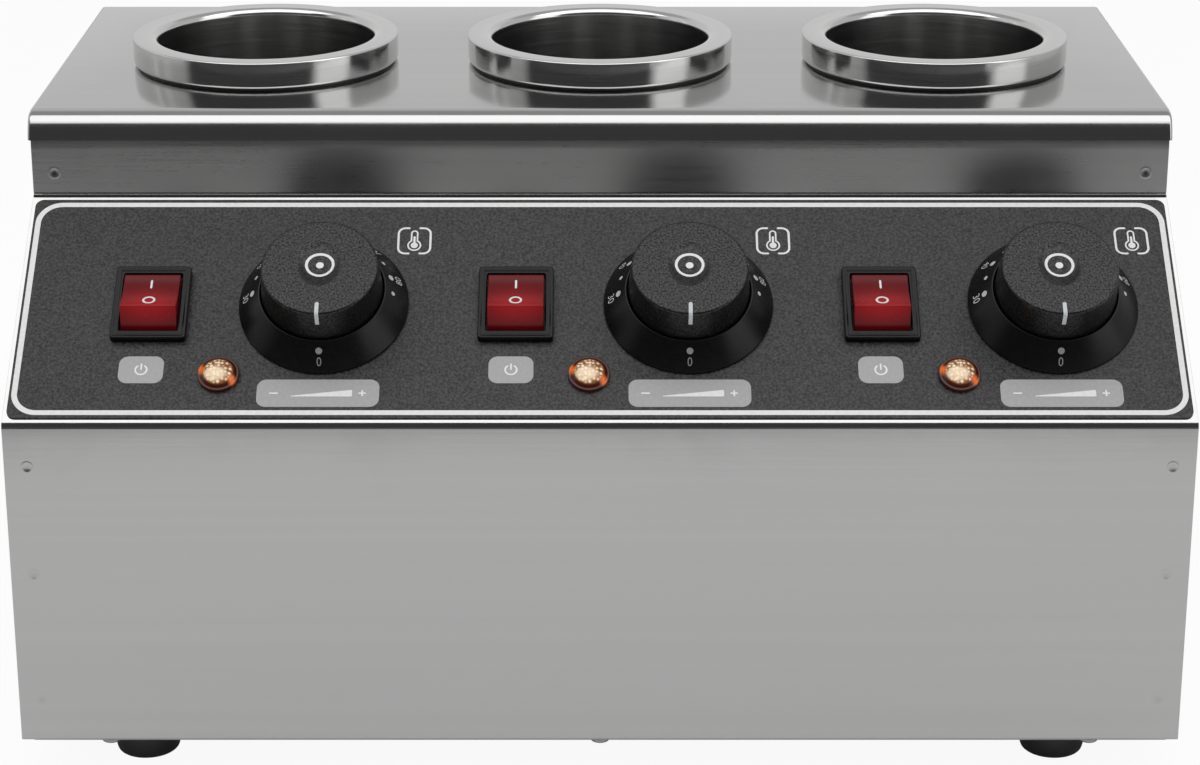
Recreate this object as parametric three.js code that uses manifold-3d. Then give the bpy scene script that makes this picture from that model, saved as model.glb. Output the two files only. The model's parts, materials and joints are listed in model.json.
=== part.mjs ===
// Counter-top warmer for sauce bottles: one stainless cabinet, three round wells in its deck, and
// a sloped control panel with a rocker switch, an indicator lamp and a thermostat knob per well.
// Millimetres, +Z up. The origin is on the counter under the middle of the whole warmer. The front
// looks along -Y, and the wells stand in a row along X.

import * as THREE from 'three';
import { mergeVertices } from 'three/addons/utils/BufferGeometryUtils.js';
import Module from 'manifold-3d';

const wasm = await Module();
wasm.setup();

// Where the wells stand, and so the width and depth of the deck round them
const wellPitch = 125;
const wellSideMargin = 75;
const wellFrontMargin = 81;
const wellRearMargin = 91;

// Cabinet, on the outside of its sheet
const lowerFaceHeight = 117;
const slopeRun = 80;
const slopeRise = 56;
const fasciaHeight = 29.5;
const bullnoseRadius = 6;
const deckSkirtDrop = 7;
const sheet = 0.8;
const sideFlangeWidth = 12;
const shellFlangeWidth = 14;
const shellLipHeight = 14;

// Gaps
const lapGap = 0.2;
const fitGap = 0.3;
const cutOverrun = 1;

// Vents in the back panel and the bottom plate
const ventLength = 44;
const ventWidth = 4;
const ventPitch = 11;
const ventRows = 3;
const ventColumnGap = 66;
const backVentHeight = 64;
const bottomVentSetIn = 125;

// Bottom plate and its screws
const bottomPlateInset = 2.5;
const plateScrewSideInset = 30;
const plateScrewSetIn = 6.5;
const plateScrewHeadRadius = 3.6;
const plateScrewHeadHeight = 1.8;
const plateScrewShankRadius = 1.6;
const plateScrewShankLength = 7;

// Rubber feet and their screws
const footSideInset = 40;
const footSetIn = 24;
const footReach = 14;
const footTopRadius = 11.8;
const footBrimHeight = 2.4;
const footBaseRadius = 8.8;
const footBaseRounding = 2.2;
const footRecessRadius = 4.8;
const footRecessDepth = 6;
const footScrewHeadRadius = 3.9;
const footScrewHeadHeight = 2.2;
const footScrewShankRadius = 2;
const footNutRadius = 4;
const footNutHeight = 3.2;
const footScrewPastNut = 1.5;

// Wells and what is round them
const wellBoreRadius = 40;
const wellWall = 1;
const wellDepth = 150;
const wellFloorRounding = 9;
const collarWidth = 9.3;
const collarHeight = 10.5;
const collarOuterRounding = 3;
const collarInnerRounding = 2.4;
const deckHoleClearance = 1.2;
const gasketWall = 1;
const gasketOverhang = 0.5;
const heaterWall = 2.4;
const heaterClearance = 0.8;
const heaterHeight = 52;
const heaterAboveFloor = 14;
const heaterEarReach = 9;
const heaterEarWall = 2;
const heaterEarSpread = 7;
const heaterScrewRadius = 1.8;
const heaterScrewEnd = 2.5;

// Control overlay
const overlayWall = 0.4;
const overlaySideMargin = 1.4;
const overlayLowerMargin = 2.2;
const overlayUpperMargin = 2.4;
const overlayCornerRadius = 3;

// Rocker switch, from the middle of its well and up the slope
const switchAcross = -28.8;
const switchUp = 48.4;
const bezelWidth = 25.8;
const bezelLength = 30.7;
const bezelHeight = 2.5;
const bezelEdge = 0.5;
const bezelCornerRadius = 1.4;
const switchMouthWidth = 20.2;
const switchMouthLength = 24.3;
const switchSideWall = 0.8;
const switchEndWall = 1.3;
const switchBodyDepth = 22;
const switchMouthDepth = 14;
const bladeWidth = 6.3;
const bladeWall = 0.8;
const bladeLength = 8;
const switchBladeSpread = 7;

// Rocker
const rockerTilt = 14 * Math.PI / 180;
const rockerPivotBelowBezel = 6.2;
const rockerFaceHalf = 9.8;
const rockerFaceHeight = 10;
const rockerShoulderHalf = 11.3;
const rockerShoulderHeight = 3;
const rockerKeelHalf = 7;
const rockerKeelDrop = 4;
const rockerFaceDish = 0.5;
const rockerPinRadius = 1.5;

// Indicator lamp
const lampAcross = -3.7;
const lampUp = 19.3;
const lensRadius = 7.1;
const lensRimHeight = 1.2;
const lensDomeHeight = 2.4;
const lensTopRadius = 5;
const lampBarrelRadius = 5;
const lampBarrelDepth = 17;
const lampBladeWidth = 2.8;
const lampBladeSpread = 3.4;
const clipWall = 2.6;
const clipRadius = 8.6;

// Thermostat, dial ring and knob
const knobAcross = 30.3;
const knobUp = 48.8;
const dialRadius = 29.1;
const dialEdgeHeight = 0.7;
const dialHeight = 7.8;
const dialFloor = 2;
const dialLipRadius = 22.6;
const dialLipWidth = 0.7;
const knobBaseRadius = 21.2;
const knobTopRadius = 19.8;
const knobReach = 22.6;
const knobEdgeRounding = 0.9;
const knobSkirtWall = 1.8;
const knobCrownWall = 2;
const knobUnderGap = 0.7;
const knobDishRadius = 7.4;
const knobDishDepth = 0.7;
const knobBossRadius = 5.6;
const pointerWidth = 1.8;
const pointerDepth = 0.5;
const pointerInnerRadius = 14.9;
const pointerSideDrop = 6;
const shaftRadius = 3;
const shaftFlat = 2;
const shaftInThermostat = 9;
const shaftInKnob = 13;
const bushRadius = 4.8;
const bracketLength = 40;
const bracketWidth = 18;
const bracketWall = 1.5;
const thermostatLength = 42;
const thermostatWidth = 32;
const thermostatDepth = 24;
const thermostatCornerRadius = 3;
const thermostatBladeSpread = 12;

// Capillary bulb on the front of each well
const bulbRadius = 3;
const bulbLength = 54;
const bulbAboveHeater = 12;
const capillaryRadius = 0.9;
const capillaryDip = 12;
const capillaryForward = 10;

// Cable gland in the back panel, and the parts inside that it serves
const glandSideInset = 50;
const glandUp = 32;
const glandBoreRadius = 4.2;
const glandThreadRadius = 7.6;
const glandFlangeRadius = 11;
const glandFlangeWall = 2.5;
const glandCapRadius = 9;
const glandCapNose = 6.5;
const glandCapLength = 12;
const glandInnerLength = 11;
const locknutRadius = 12;
const locknutWall = 4.5;
const terminalSetIn = 36;
const terminalWays = 3;
const terminalWayWidth = 11;
const terminalBarrier = 2;
const terminalDepth = 22;
const terminalBlockHeight = 9;
const terminalBarrierHeight = 6;
const loomRadius = 3;
const loomBendLength = 30;
const loomHeight = 52;
const loomSetback = 84;

// Facets
const roundSteps = 24;
const hiddenRoundSteps = 16;
const smallRoundSteps = 12;
const screwSteps = 8;
const hexSides = 6;
const arcSteps = 2;
const wideArcSteps = 4;
const cornerSteps = 2;
const capillarySteps = 10;
const loomSteps = 16;
const capillarySides = 5;
const loomSides = 6;

// Places worked out from the sizes above
const halfWidth = wellPitch + wellSideMargin;
const lap = sheet + lapGap;
const deckHeight = lowerFaceHeight + slopeRise + fasciaHeight;
const wellSetback = slopeRun + wellFrontMargin;
const bodyDepth = wellSetback + wellRearMargin;
const backFace = bodyDepth - lap;
const plateScrewAcross = halfWidth - plateScrewSideInset;
const footAcross = halfWidth - footSideInset;
const glandAcross = halfWidth - glandSideInset;
const terminalAcross = wellPitch / 2;
const terminalSetback = backFace - terminalSetIn;
const loomEndAcross = switchAcross - wellPitch;
const slopeAngle = Math.atan2(slopeRise, slopeRun);
const slopeLength = Math.hypot(slopeRun, slopeRise);
const slopePitch = slopeRise / slopeRun;
const deckSkirtBottom = deckHeight - deckSkirtDrop;
const plateTop = -lapGap;
const plateBottom = plateTop - sheet;
const overlayBottom = fitGap;
const panelFace = overlayBottom + overlayWall + fitGap;
const panelBack = -sheet - fitGap;
const bezelFace = panelFace + bezelHeight;
const rockerPivot = bezelFace - rockerPivotBelowBezel;
const switchBodyWidth = switchMouthWidth + 2 * switchSideWall;
const switchBodyLength = switchMouthLength + 2 * switchEndWall;
const knobFloor = panelFace + dialFloor + knobUnderGap;
const collarRadius = wellBoreRadius + collarWidth;
const wellWallRadius = wellBoreRadius + wellWall;
const deckHoleRadius = wellWallRadius + deckHoleClearance;
const gasketTop = fitGap + gasketWall;
const throughCut = sheet + 2 * cutOverrun;
const wholeDepth = backFace + fitGap + glandFlangeWall + glandCapLength;
const modules = [
  { side: 'left', across: -wellPitch },
  { side: 'centre', across: 0 },
  { side: 'right', across: wellPitch },
];

// Frame of the slope: X across, Y up the slope from its lower crease, Z out of the panel
const panelMatrix = new THREE.Matrix4()
  .makeTranslation(0, 0, lowerFaceHeight)
  .multiply(new THREE.Matrix4().makeRotationX(slopeAngle));

// Finishes
const brushedSteel = { color: 0xb4b4b2, roughness: 0.38, metalness: 1 };
const drawnSteel = { color: 0xbcbcba, roughness: 0.26, metalness: 1 };
const platedSteel = { color: 0x9a9a98, roughness: 0.45, metalness: 1 };
const overlayFilm = { color: 0x4b4b4a, roughness: 0.62, metalness: 0 };
const blackPlastic = { color: 0x1c1c1c, roughness: 0.38, metalness: 0 };
const knobPlastic = { color: 0x2e2e2e, roughness: 0.55, metalness: 0 };
const redPlastic = { color: 0x9c1a1f, roughness: 0.2, metalness: 0 };
const amberPlastic = { color: 0xa24a1a, roughness: 0.2, metalness: 0 };
const blackRubber = { color: 0x171717, roughness: 0.8, metalness: 0 };
const whiteCeramic = { color: 0xd8d4c8, roughness: 0.6, metalness: 0 };
const heaterJacket = { color: 0x8f8c84, roughness: 0.5, metalness: 1 };
const copper = { color: 0xb5714a, roughness: 0.4, metalness: 1 };
const wireSleeve = { color: 0xe4e0d6, roughness: 0.8, metalness: 0 };

// Solids: a closed geometry becomes a manifold to be joined or cut, and comes back as a geometry
function solidFrom(geometry) {
  const bare = geometry.clone();
  bare.deleteAttribute('normal');
  bare.deleteAttribute('uv');
  const merged = mergeVertices(bare);
  const corners = merged.index.array;
  const faces = [];
  for (let i = 0; i < corners.length; i += 3) {
    const [a, b, c] = [corners[i], corners[i + 1], corners[i + 2]];
    if (a !== b && b !== c && c !== a) faces.push(a, b, c);
  }
  return new wasm.Manifold(new wasm.Mesh({
    numProp: 3,
    vertProperties: new Float32Array(merged.attributes.position.array),
    triVerts: new Uint32Array(faces),
  }));
}

function geometryFrom(solid) {
  const mesh = solid.getMesh();
  const geometry = new THREE.BufferGeometry();
  geometry.setAttribute('position', new THREE.BufferAttribute(mesh.vertProperties, 3));
  geometry.setIndex(new THREE.BufferAttribute(mesh.triVerts, 1));
  geometry.computeVertexNormals();
  return geometry;
}

function cut(blank, cutters) {
  let solid = solidFrom(blank);
  for (const cutter of cutters) solid = solid.subtract(solidFrom(cutter));
  return geometryFrom(solid);
}

function join(pieces) {
  const [first, ...others] = pieces.map(solidFrom);
  let solid = first;
  for (const other of others) solid = solid.add(other);
  return geometryFrom(solid);
}

// Outlines
function arc(centreX, centreY, radius, fromAngle, toAngle, steps) {
  const points = [];
  for (let i = 0; i <= steps; i += 1) {
    const angle = fromAngle + (toAngle - fromAngle) * i / steps;
    points.push([centreX + radius * Math.cos(angle), centreY + radius * Math.sin(angle)]);
  }
  return points;
}

// Moves an open path square to itself, to the right of its travel, with mitred corners
function offsetPath(points, distance) {
  const squares = points.slice(1).map(([x, y], i) => {
    const length = Math.hypot(x - points[i][0], y - points[i][1]);
    return [(y - points[i][1]) / length, (points[i][0] - x) / length];
  });
  return points.map(([x, y], i) => {
    const before = squares[Math.max(i - 1, 0)];
    const after = squares[Math.min(i, squares.length - 1)];
    const stretch = distance / (1 + before[0] * after[0] + before[1] * after[1]);
    return [x + (before[0] + after[0]) * stretch, y + (before[1] + after[1]) * stretch];
  });
}

// Section of a bent sheet whose outer face follows the path
function sheetSection(path, wall) {
  return [...path, ...offsetPath(path, wall).reverse()];
}

function shapeOf(points) {
  return new THREE.Shape(points.map(([x, y]) => new THREE.Vector2(x, y)));
}

function roundedRectangle(width, height, radius) {
  const x = width / 2 - radius;
  const y = height / 2 - radius;
  const turn = Math.PI / 2;
  return shapeOf([
    ...arc(x, y, radius, 0, turn, cornerSteps),
    ...arc(-x, y, radius, turn, 2 * turn, cornerSteps),
    ...arc(-x, -y, radius, 2 * turn, 3 * turn, cornerSteps),
    ...arc(x, -y, radius, 3 * turn, 4 * turn, cornerSteps),
  ]);
}

// Solids with their base at Z 0
function prism(shape, height) {
  return new THREE.ExtrudeGeometry(shape, { depth: height, bevelEnabled: false });
}

function rod(radius, length, steps) {
  return new THREE.CylinderGeometry(radius, radius, length, steps)
    .rotateX(Math.PI / 2)
    .translate(0, 0, length / 2);
}

// Turned piece from a profile of radius and height, closed on itself or on the axis
function revolve(profile, steps) {
  const points = profile.map(([radius, height]) => new THREE.Vector2(radius, height));
  if (THREE.ShapeUtils.area(points) < 0) points.reverse();
  const onAxis = points[0].x === 0 && points[points.length - 1].x === 0;
  if (!onAxis) points.push(points[0].clone());
  return new THREE.LatheGeometry(points, steps).rotateX(Math.PI / 2);
}

function box(fromX, toX, fromY, toY, fromZ, toZ) {
  return new THREE.BoxGeometry(toX - fromX, toY - fromY, toZ - fromZ)
    .translate((fromX + toX) / 2, (fromY + toY) / 2, (fromZ + toZ) / 2);
}

// A section drawn in Y and Z and drawn out along X
function acrossX(points, fromX, toX) {
  const turned = new THREE.Matrix4().makeBasis(
    new THREE.Vector3(0, 1, 0),
    new THREE.Vector3(0, 0, 1),
    new THREE.Vector3(1, 0, 0),
  );
  return prism(shapeOf(points), toX - fromX).applyMatrix4(turned).translate(fromX, 0, 0);
}

// A tube along a curve with closed ends
function tube(curve, radius, sides, steps) {
  const section = shapeOf(arc(0, 0, radius, 0, 2 * Math.PI, sides).slice(0, sides));
  return new THREE.ExtrudeGeometry(section, { steps, extrudePath: curve, bevelEnabled: false });
}

function slot(length, width) {
  return roundedRectangle(length, width, width / 2);
}

function addMesh(parent, name, geometry, finish) {
  const mesh = new THREE.Mesh(geometry, new THREE.MeshStandardMaterial({ ...finish, flatShading: true }));
  mesh.name = name;
  parent.add(mesh);
}

function groupAt(parent, x, y, z) {
  const group = new THREE.Group();
  group.position.set(x, y, z);
  parent.add(group);
  return group;
}

// Bullnose where the fascia turns into the deck, and the side outline of the whole cabinet
function bullnose() {
  return arc(slopeRun + bullnoseRadius, deckHeight - bullnoseRadius, bullnoseRadius, Math.PI, Math.PI / 2,
    wideArcSteps);
}

function bodyOutline(inset) {
  const path = [
    [0, -lap],
    [0, lowerFaceHeight],
    [slopeRun, lowerFaceHeight + slopeRise],
    ...bullnose(),
    [backFace, deckHeight],
    [backFace, -lap],
  ];
  const closed = [path[path.length - 1], ...path, path[0]];
  return offsetPath(closed, inset).slice(1, -1);
}

// Cuts a bent sheet back at both sides, clear of the side panels' flanges
function endCuts(fromY, toY, fromZ, toZ) {
  const inner = halfWidth - sideFlangeWidth - lapGap;
  const outer = halfWidth + cutOverrun;
  return [box(inner, outer, fromY, toY, fromZ, toZ), box(-outer, -inner, fromY, toY, fromZ, toZ)];
}

function topDeck() {
  const outerHalf = halfWidth + lap;
  const outer = acrossX([
    [slopeRun, deckSkirtBottom],
    ...bullnose(),
    [bodyDepth, deckHeight],
    [bodyDepth, deckSkirtBottom],
  ], -outerHalf, outerHalf);
  const underside = offsetPath([
    [slopeRun, deckSkirtBottom - cutOverrun],
    ...bullnose(),
    [bodyDepth, deckHeight],
    [bodyDepth, deckSkirtBottom - cutOverrun],
  ], sheet);
  const hollow = acrossX(underside, -halfWidth - lapGap, halfWidth + lapGap);
  const fasciaBottom = lowerFaceHeight + (slopeRun + sheet) * slopePitch + lapGap;
  const fasciaTop = deckSkirtBottom + sheet;
  const fascia = box(-halfWidth, halfWidth, slopeRun, slopeRun + sheet, fasciaBottom, fasciaTop);
  const holes = modules.map(({ across }) => rod(deckHoleRadius, throughCut, roundSteps)
    .translate(across, wellSetback, deckHeight - sheet - cutOverrun));
  return cut(join([cut(outer, [hollow]), fascia]), holes);
}

// Holes through the slope for the switch, the lamp and the thermostat bush of each module
function panelCutters(across) {
  const depth = throughCut + panelFace;
  const bottom = -sheet - cutOverrun;
  const mouth = roundedRectangle(
    switchBodyWidth + 2 * fitGap,
    switchBodyLength + 2 * fitGap,
    bezelCornerRadius,
  );
  return [
    prism(mouth, depth).translate(across + switchAcross, switchUp, bottom),
    rod(lampBarrelRadius + fitGap, depth, smallRoundSteps).translate(across + lampAcross, lampUp, bottom),
    rod(bushRadius + fitGap, depth, smallRoundSteps).translate(across + knobAcross, knobUp, bottom),
  ];
}

// Hole for an upright screw through the bottom plate and the flange on it
function screwHole(shankRadius, x, y) {
  const bottom = plateBottom - cutOverrun;
  return rod(shankRadius + fitGap, sheet + cutOverrun - bottom, screwSteps).translate(x, y, bottom);
}

function frontShell() {
  const lipFace = slopeRun + lap;
  const lipFoot = lowerFaceHeight + lipFace * slopePitch;
  const lipTop = lipFoot + shellLipHeight;
  const section = sheetSection([
    [shellFlangeWidth, 0],
    [0, 0],
    [0, lowerFaceHeight],
    [lipFace, lipFoot],
    [lipFace, lipTop],
  ], sheet);
  const panelHoles = modules.flatMap(({ across }) => panelCutters(across));
  const screwHoles = plateScrewPlaces().filter(({ y }) => y < slopeRun).map(({ x, y }) =>
    screwHole(plateScrewShankRadius, x, y));
  return cut(acrossX(section, -halfWidth, halfWidth), [
    ...endCuts(sheet, shellFlangeWidth + cutOverrun, -cutOverrun, lap),
    ...endCuts(lipFace - lapGap, lipFace + lap + cutOverrun, lowerFaceHeight, lipTop + cutOverrun),
    ...panelHoles.map((hole) => hole.applyMatrix4(panelMatrix)),
    ...screwHoles,
  ]);
}

// Side panels are trays: a flat side with a flange turned in all round
function sidePanel(side) {
  const innerEdge = halfWidth - sideFlangeWidth;
  const between = (inner, outer) => (side < 0 ? [-outer, -inner] : [inner, outer]);
  const tray = acrossX(bodyOutline(lap), ...between(innerEdge, halfWidth));
  const hollow = acrossX(bodyOutline(lap + sheet), ...between(innerEdge - cutOverrun, halfWidth - sheet));
  return cut(tray, [hollow]);
}

// A row of slots on each side of the middle
function ventSlots() {
  const slots = [];
  for (const sign of [-1, 1]) {
    const across = sign * (ventLength + ventColumnGap) / 2;
    for (let row = 0; row < ventRows; row += 1) {
      const along = (row - (ventRows - 1) / 2) * ventPitch;
      slots.push(prism(slot(ventLength, ventWidth), throughCut).translate(across, along, -throughCut / 2));
    }
  }
  return slots;
}

function backPanel() {
  const section = sheetSection([
    [backFace, deckHeight - lap],
    [backFace, 0],
    [backFace - shellFlangeWidth, 0],
  ], sheet);
  const vents = ventSlots().map((vent) => vent.rotateX(Math.PI / 2).translate(0, backFace, backVentHeight));
  const glandHole = rod(glandThreadRadius + fitGap, throughCut, smallRoundSteps)
    .rotateX(Math.PI / 2)
    .translate(glandAcross, backFace + cutOverrun, glandUp);
  const screwHoles = plateScrewPlaces().filter(({ y }) => y > slopeRun).map(({ x, y }) =>
    screwHole(plateScrewShankRadius, x, y));
  return cut(acrossX(section, -halfWidth, halfWidth), [
    ...endCuts(backFace - shellFlangeWidth - cutOverrun, backFace - sheet, -cutOverrun, lap),
    ...vents,
    glandHole,
    ...screwHoles,
  ]);
}

function plateScrewPlaces() {
  const rear = backFace - plateScrewSetIn;
  return [
    { name: 'front_left_plate_screw', x: -plateScrewAcross, y: plateScrewSetIn },
    { name: 'front_middle_plate_screw', x: 0, y: plateScrewSetIn },
    { name: 'front_right_plate_screw', x: plateScrewAcross, y: plateScrewSetIn },
    { name: 'rear_left_plate_screw', x: -plateScrewAcross, y: rear },
    { name: 'rear_right_plate_screw', x: plateScrewAcross, y: rear },
  ];
}

function footPlaces() {
  const rear = backFace - footSetIn;
  return [
    { name: 'front_left_foot', x: -footAcross, y: footSetIn },
    { name: 'front_right_foot', x: footAcross, y: footSetIn },
    { name: 'rear_left_foot', x: -footAcross, y: rear },
    { name: 'rear_right_foot', x: footAcross, y: rear },
  ];
}

function bottomPlate() {
  const blank = box(bottomPlateInset - halfWidth, halfWidth - bottomPlateInset, bottomPlateInset,
    backFace - bottomPlateInset, plateBottom, plateTop);
  const screwHoles = plateScrewPlaces().map(({ x, y }) => screwHole(plateScrewShankRadius, x, y));
  const footHoles = footPlaces().map(({ x, y }) => screwHole(footScrewShankRadius, x, y));
  const vents = ventSlots().map((vent) => vent.translate(0, backFace - bottomVentSetIn, plateBottom));
  return cut(blank, [...vents, ...screwHoles, ...footHoles]);
}

function controlOverlay() {
  const length = slopeLength - overlayLowerMargin - overlayUpperMargin;
  const outline = roundedRectangle(2 * (halfWidth - overlaySideMargin), length, overlayCornerRadius);
  const film = prism(outline, overlayWall).translate(0, overlayLowerMargin + length / 2, overlayBottom);
  return cut(film, modules.flatMap(({ across }) => panelCutters(across)));
}

// Pan-headed screw pointing up, with the top of its head's underside at Z 0
function screw(headRadius, headHeight, shankRadius, shankLength) {
  return revolve([
    [0, -headHeight],
    [headRadius * Math.SQRT1_2, -headHeight],
    [headRadius, -headHeight / 2],
    [headRadius, 0],
    [shankRadius, 0],
    [shankRadius, shankLength],
    [0, shankLength],
  ], screwSteps);
}

function foot() {
  const height = footReach + plateBottom - lapGap;
  return revolve([
    [footRecessRadius, 0],
    ...arc(footBaseRadius, footBaseRounding, footBaseRounding, -Math.PI / 2, 0, arcSteps),
    [footTopRadius, height - footBrimHeight],
    [footTopRadius, height],
    [footScrewShankRadius + fitGap, height],
    [footScrewShankRadius + fitGap, footRecessDepth],
    [footRecessRadius, footRecessDepth],
  ], smallRoundSteps);
}

// Foot screw with its nut, which clamps the foot to the bottom plate
function footScrew() {
  const headSeat = footRecessDepth - footReach - fitGap;
  const nutBase = plateTop + fitGap;
  const length = nutBase + footNutHeight + footScrewPastNut - headSeat;
  return join([
    screw(footScrewHeadRadius, footScrewHeadHeight, footScrewShankRadius, length).translate(0, 0, headSeat),
    rod(footNutRadius, footNutHeight, hexSides).translate(0, 0, nutBase),
  ]);
}

// Drawn well: bore, floor and the rolled collar whose skirt stands on the gasket. Z 0 is the deck.
function well() {
  const floor = -wellDepth;
  const skirtFoot = gasketTop + fitGap;
  const right = Math.PI / 2;
  const floorArc = [wellBoreRadius - wellFloorRounding, floor + wellFloorRounding];
  const outerArc = [collarRadius - collarOuterRounding, collarHeight - collarOuterRounding];
  const innerArc = [wellBoreRadius + collarInnerRounding, collarHeight - collarInnerRounding];
  return revolve([
    [0, floor - wellWall],
    ...arc(...floorArc, wellFloorRounding + wellWall, -right, 0, arcSteps),
    [wellWallRadius, collarHeight - wellWall],
    [collarRadius - wellWall, collarHeight - wellWall],
    [collarRadius - wellWall, skirtFoot],
    [collarRadius, skirtFoot],
    ...arc(...outerArc, collarOuterRounding, 0, right, arcSteps),
    ...arc(...innerArc, collarInnerRounding, right, 2 * right, arcSteps),
    ...arc(...floorArc, wellFloorRounding, 0, -right, arcSteps),
    [0, floor],
  ], roundSteps);
}

function wellGasket() {
  return revolve([
    [deckHoleRadius, fitGap],
    [collarRadius + gasketOverhang, fitGap],
    [collarRadius + gasketOverhang, gasketTop],
    [deckHoleRadius, gasketTop],
  ], roundSteps);
}

// Band heater: an open band clamped by a screw through its two ears, which point to the back
function heaterBand() {
  const inner = wellWallRadius + heaterClearance;
  const outer = inner + heaterWall;
  const gapAngle = Math.asin(heaterEarSpread / 2 / outer);
  const back = Math.PI / 2;
  const around = [back + gapAngle, back + 2 * Math.PI - gapAngle];
  const band = prism(shapeOf([
    ...arc(0, 0, outer, around[0], around[1], hiddenRoundSteps),
    ...arc(0, 0, inner, around[1], around[0], hiddenRoundSteps),
  ]), heaterHeight);
  const earRoot = (inner + outer) / 2;
  const ears = [-1, 1].map((sign) => box(
    sign > 0 ? heaterEarSpread / 2 : -heaterEarSpread / 2 - heaterEarWall,
    sign > 0 ? heaterEarSpread / 2 + heaterEarWall : -heaterEarSpread / 2,
    earRoot, outer + heaterEarReach, 0, heaterHeight,
  ));
  const screwLength = heaterEarSpread + 2 * (heaterEarWall + heaterScrewEnd);
  const clampScrew = rod(heaterScrewRadius, screwLength, screwSteps)
    .translate(0, 0, -screwLength / 2)
    .rotateY(Math.PI / 2)
    .translate(0, outer + heaterEarReach / 2, heaterHeight / 2);
  return join([band, ...ears, clampScrew]);
}

// Dial ring: a flat floor, an upright wall round the knob and a cone down to the panel
function dialRing() {
  const top = panelFace + dialHeight;
  const bore = dialLipRadius - dialLipWidth;
  return revolve([
    [bushRadius + 2 * fitGap, panelFace],
    [dialRadius, panelFace],
    [dialRadius, panelFace + dialEdgeHeight],
    [dialLipRadius, top],
    [bore, top],
    [bore, panelFace + dialFloor],
    [bushRadius + 2 * fitGap, panelFace + dialFloor],
  ], roundSteps);
}

// D-shaped section with its flat towards +Y
function shaftSection(radius, flat) {
  const half = Math.acos(flat / radius);
  return shapeOf(arc(0, 0, radius, Math.PI / 2 + half, 5 * Math.PI / 2 - half, smallRoundSteps));
}

// Knob: a hollow cap with a boss on the shaft and a groove that holds the pointer line
function knob() {
  const crown = knobReach - knobCrownWall;
  const outerEdge = [
    [knobTopRadius - knobEdgeRounding, knobReach],
    [knobTopRadius, knobReach - knobEdgeRounding],
    [knobBaseRadius, knobFloor],
  ];
  const cap = revolve([
    [0, knobReach - knobDishDepth],
    [knobDishRadius - knobDishDepth, knobReach - knobDishDepth],
    [knobDishRadius, knobReach],
    ...outerEdge,
    [knobBaseRadius - knobSkirtWall, knobFloor],
    [knobTopRadius - knobSkirtWall, crown],
    [knobBossRadius, crown],
    [knobBossRadius, knobFloor],
    [0, knobFloor],
  ], roundSteps);
  const socketDepth = shaftInKnob + fitGap;
  const socket = prism(shaftSection(shaftRadius + fitGap, shaftFlat + fitGap), socketDepth + cutOverrun)
    .translate(0, 0, knobFloor - cutOverrun);
  const sideShare = (pointerSideDrop - knobEdgeRounding) / (knobReach - knobEdgeRounding - knobFloor);
  const sideEnd = [
    knobTopRadius + (knobBaseRadius - knobTopRadius) * sideShare,
    knobReach - pointerSideDrop,
  ];
  const line = [[pointerInnerRadius, knobReach], outerEdge[0], outerEdge[1], sideEnd];
  const groove = acrossX([
    ...offsetPath(line, -cutOverrun),
    ...offsetPath(line, pointerDepth).reverse(),
  ], -pointerWidth / 2, pointerWidth / 2).rotateZ(Math.PI);
  return cut(cap, [socket, groove]);
}

// Thermostat shaft: round in the bush, with a flat where the knob grips it
function thermostatShaft() {
  const top = knobFloor + shaftInKnob;
  const bottom = panelBack - shaftInThermostat;
  return join([
    rod(shaftRadius, knobFloor - bottom, smallRoundSteps).translate(0, 0, bottom),
    prism(shaftSection(shaftRadius, shaftFlat), top - bottom).translate(0, 0, bottom),
  ]);
}

// Thermostat behind the panel: bracket, bush through the panel, box and two blades
function thermostat() {
  const bracketBack = panelBack - bracketWall;
  const boxBottom = bracketBack - thermostatDepth;
  const [across, up] = [bracketWidth / 2, bracketLength / 2];
  const outline = roundedRectangle(thermostatWidth, thermostatLength, thermostatCornerRadius);
  const body = join([
    prism(outline, thermostatDepth).translate(0, 0, boxBottom),
    box(-across, across, -up, up, bracketBack - lapGap, panelBack),
    rod(bushRadius, panelFace - bracketBack, smallRoundSteps).translate(0, 0, bracketBack),
    ...[-1, 1].map((sign) => box(-bladeWidth / 2, bladeWidth / 2,
      sign * thermostatBladeSpread - bladeWall / 2, sign * thermostatBladeSpread + bladeWall / 2,
      boxBottom - bladeLength, boxBottom + lapGap)),
  ]);
  const boreBottom = panelBack - shaftInThermostat - fitGap;
  const boreDepth = panelFace + cutOverrun - boreBottom;
  return cut(body, [rod(shaftRadius + fitGap, boreDepth, smallRoundSteps).translate(0, 0, boreBottom)]);
}

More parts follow.
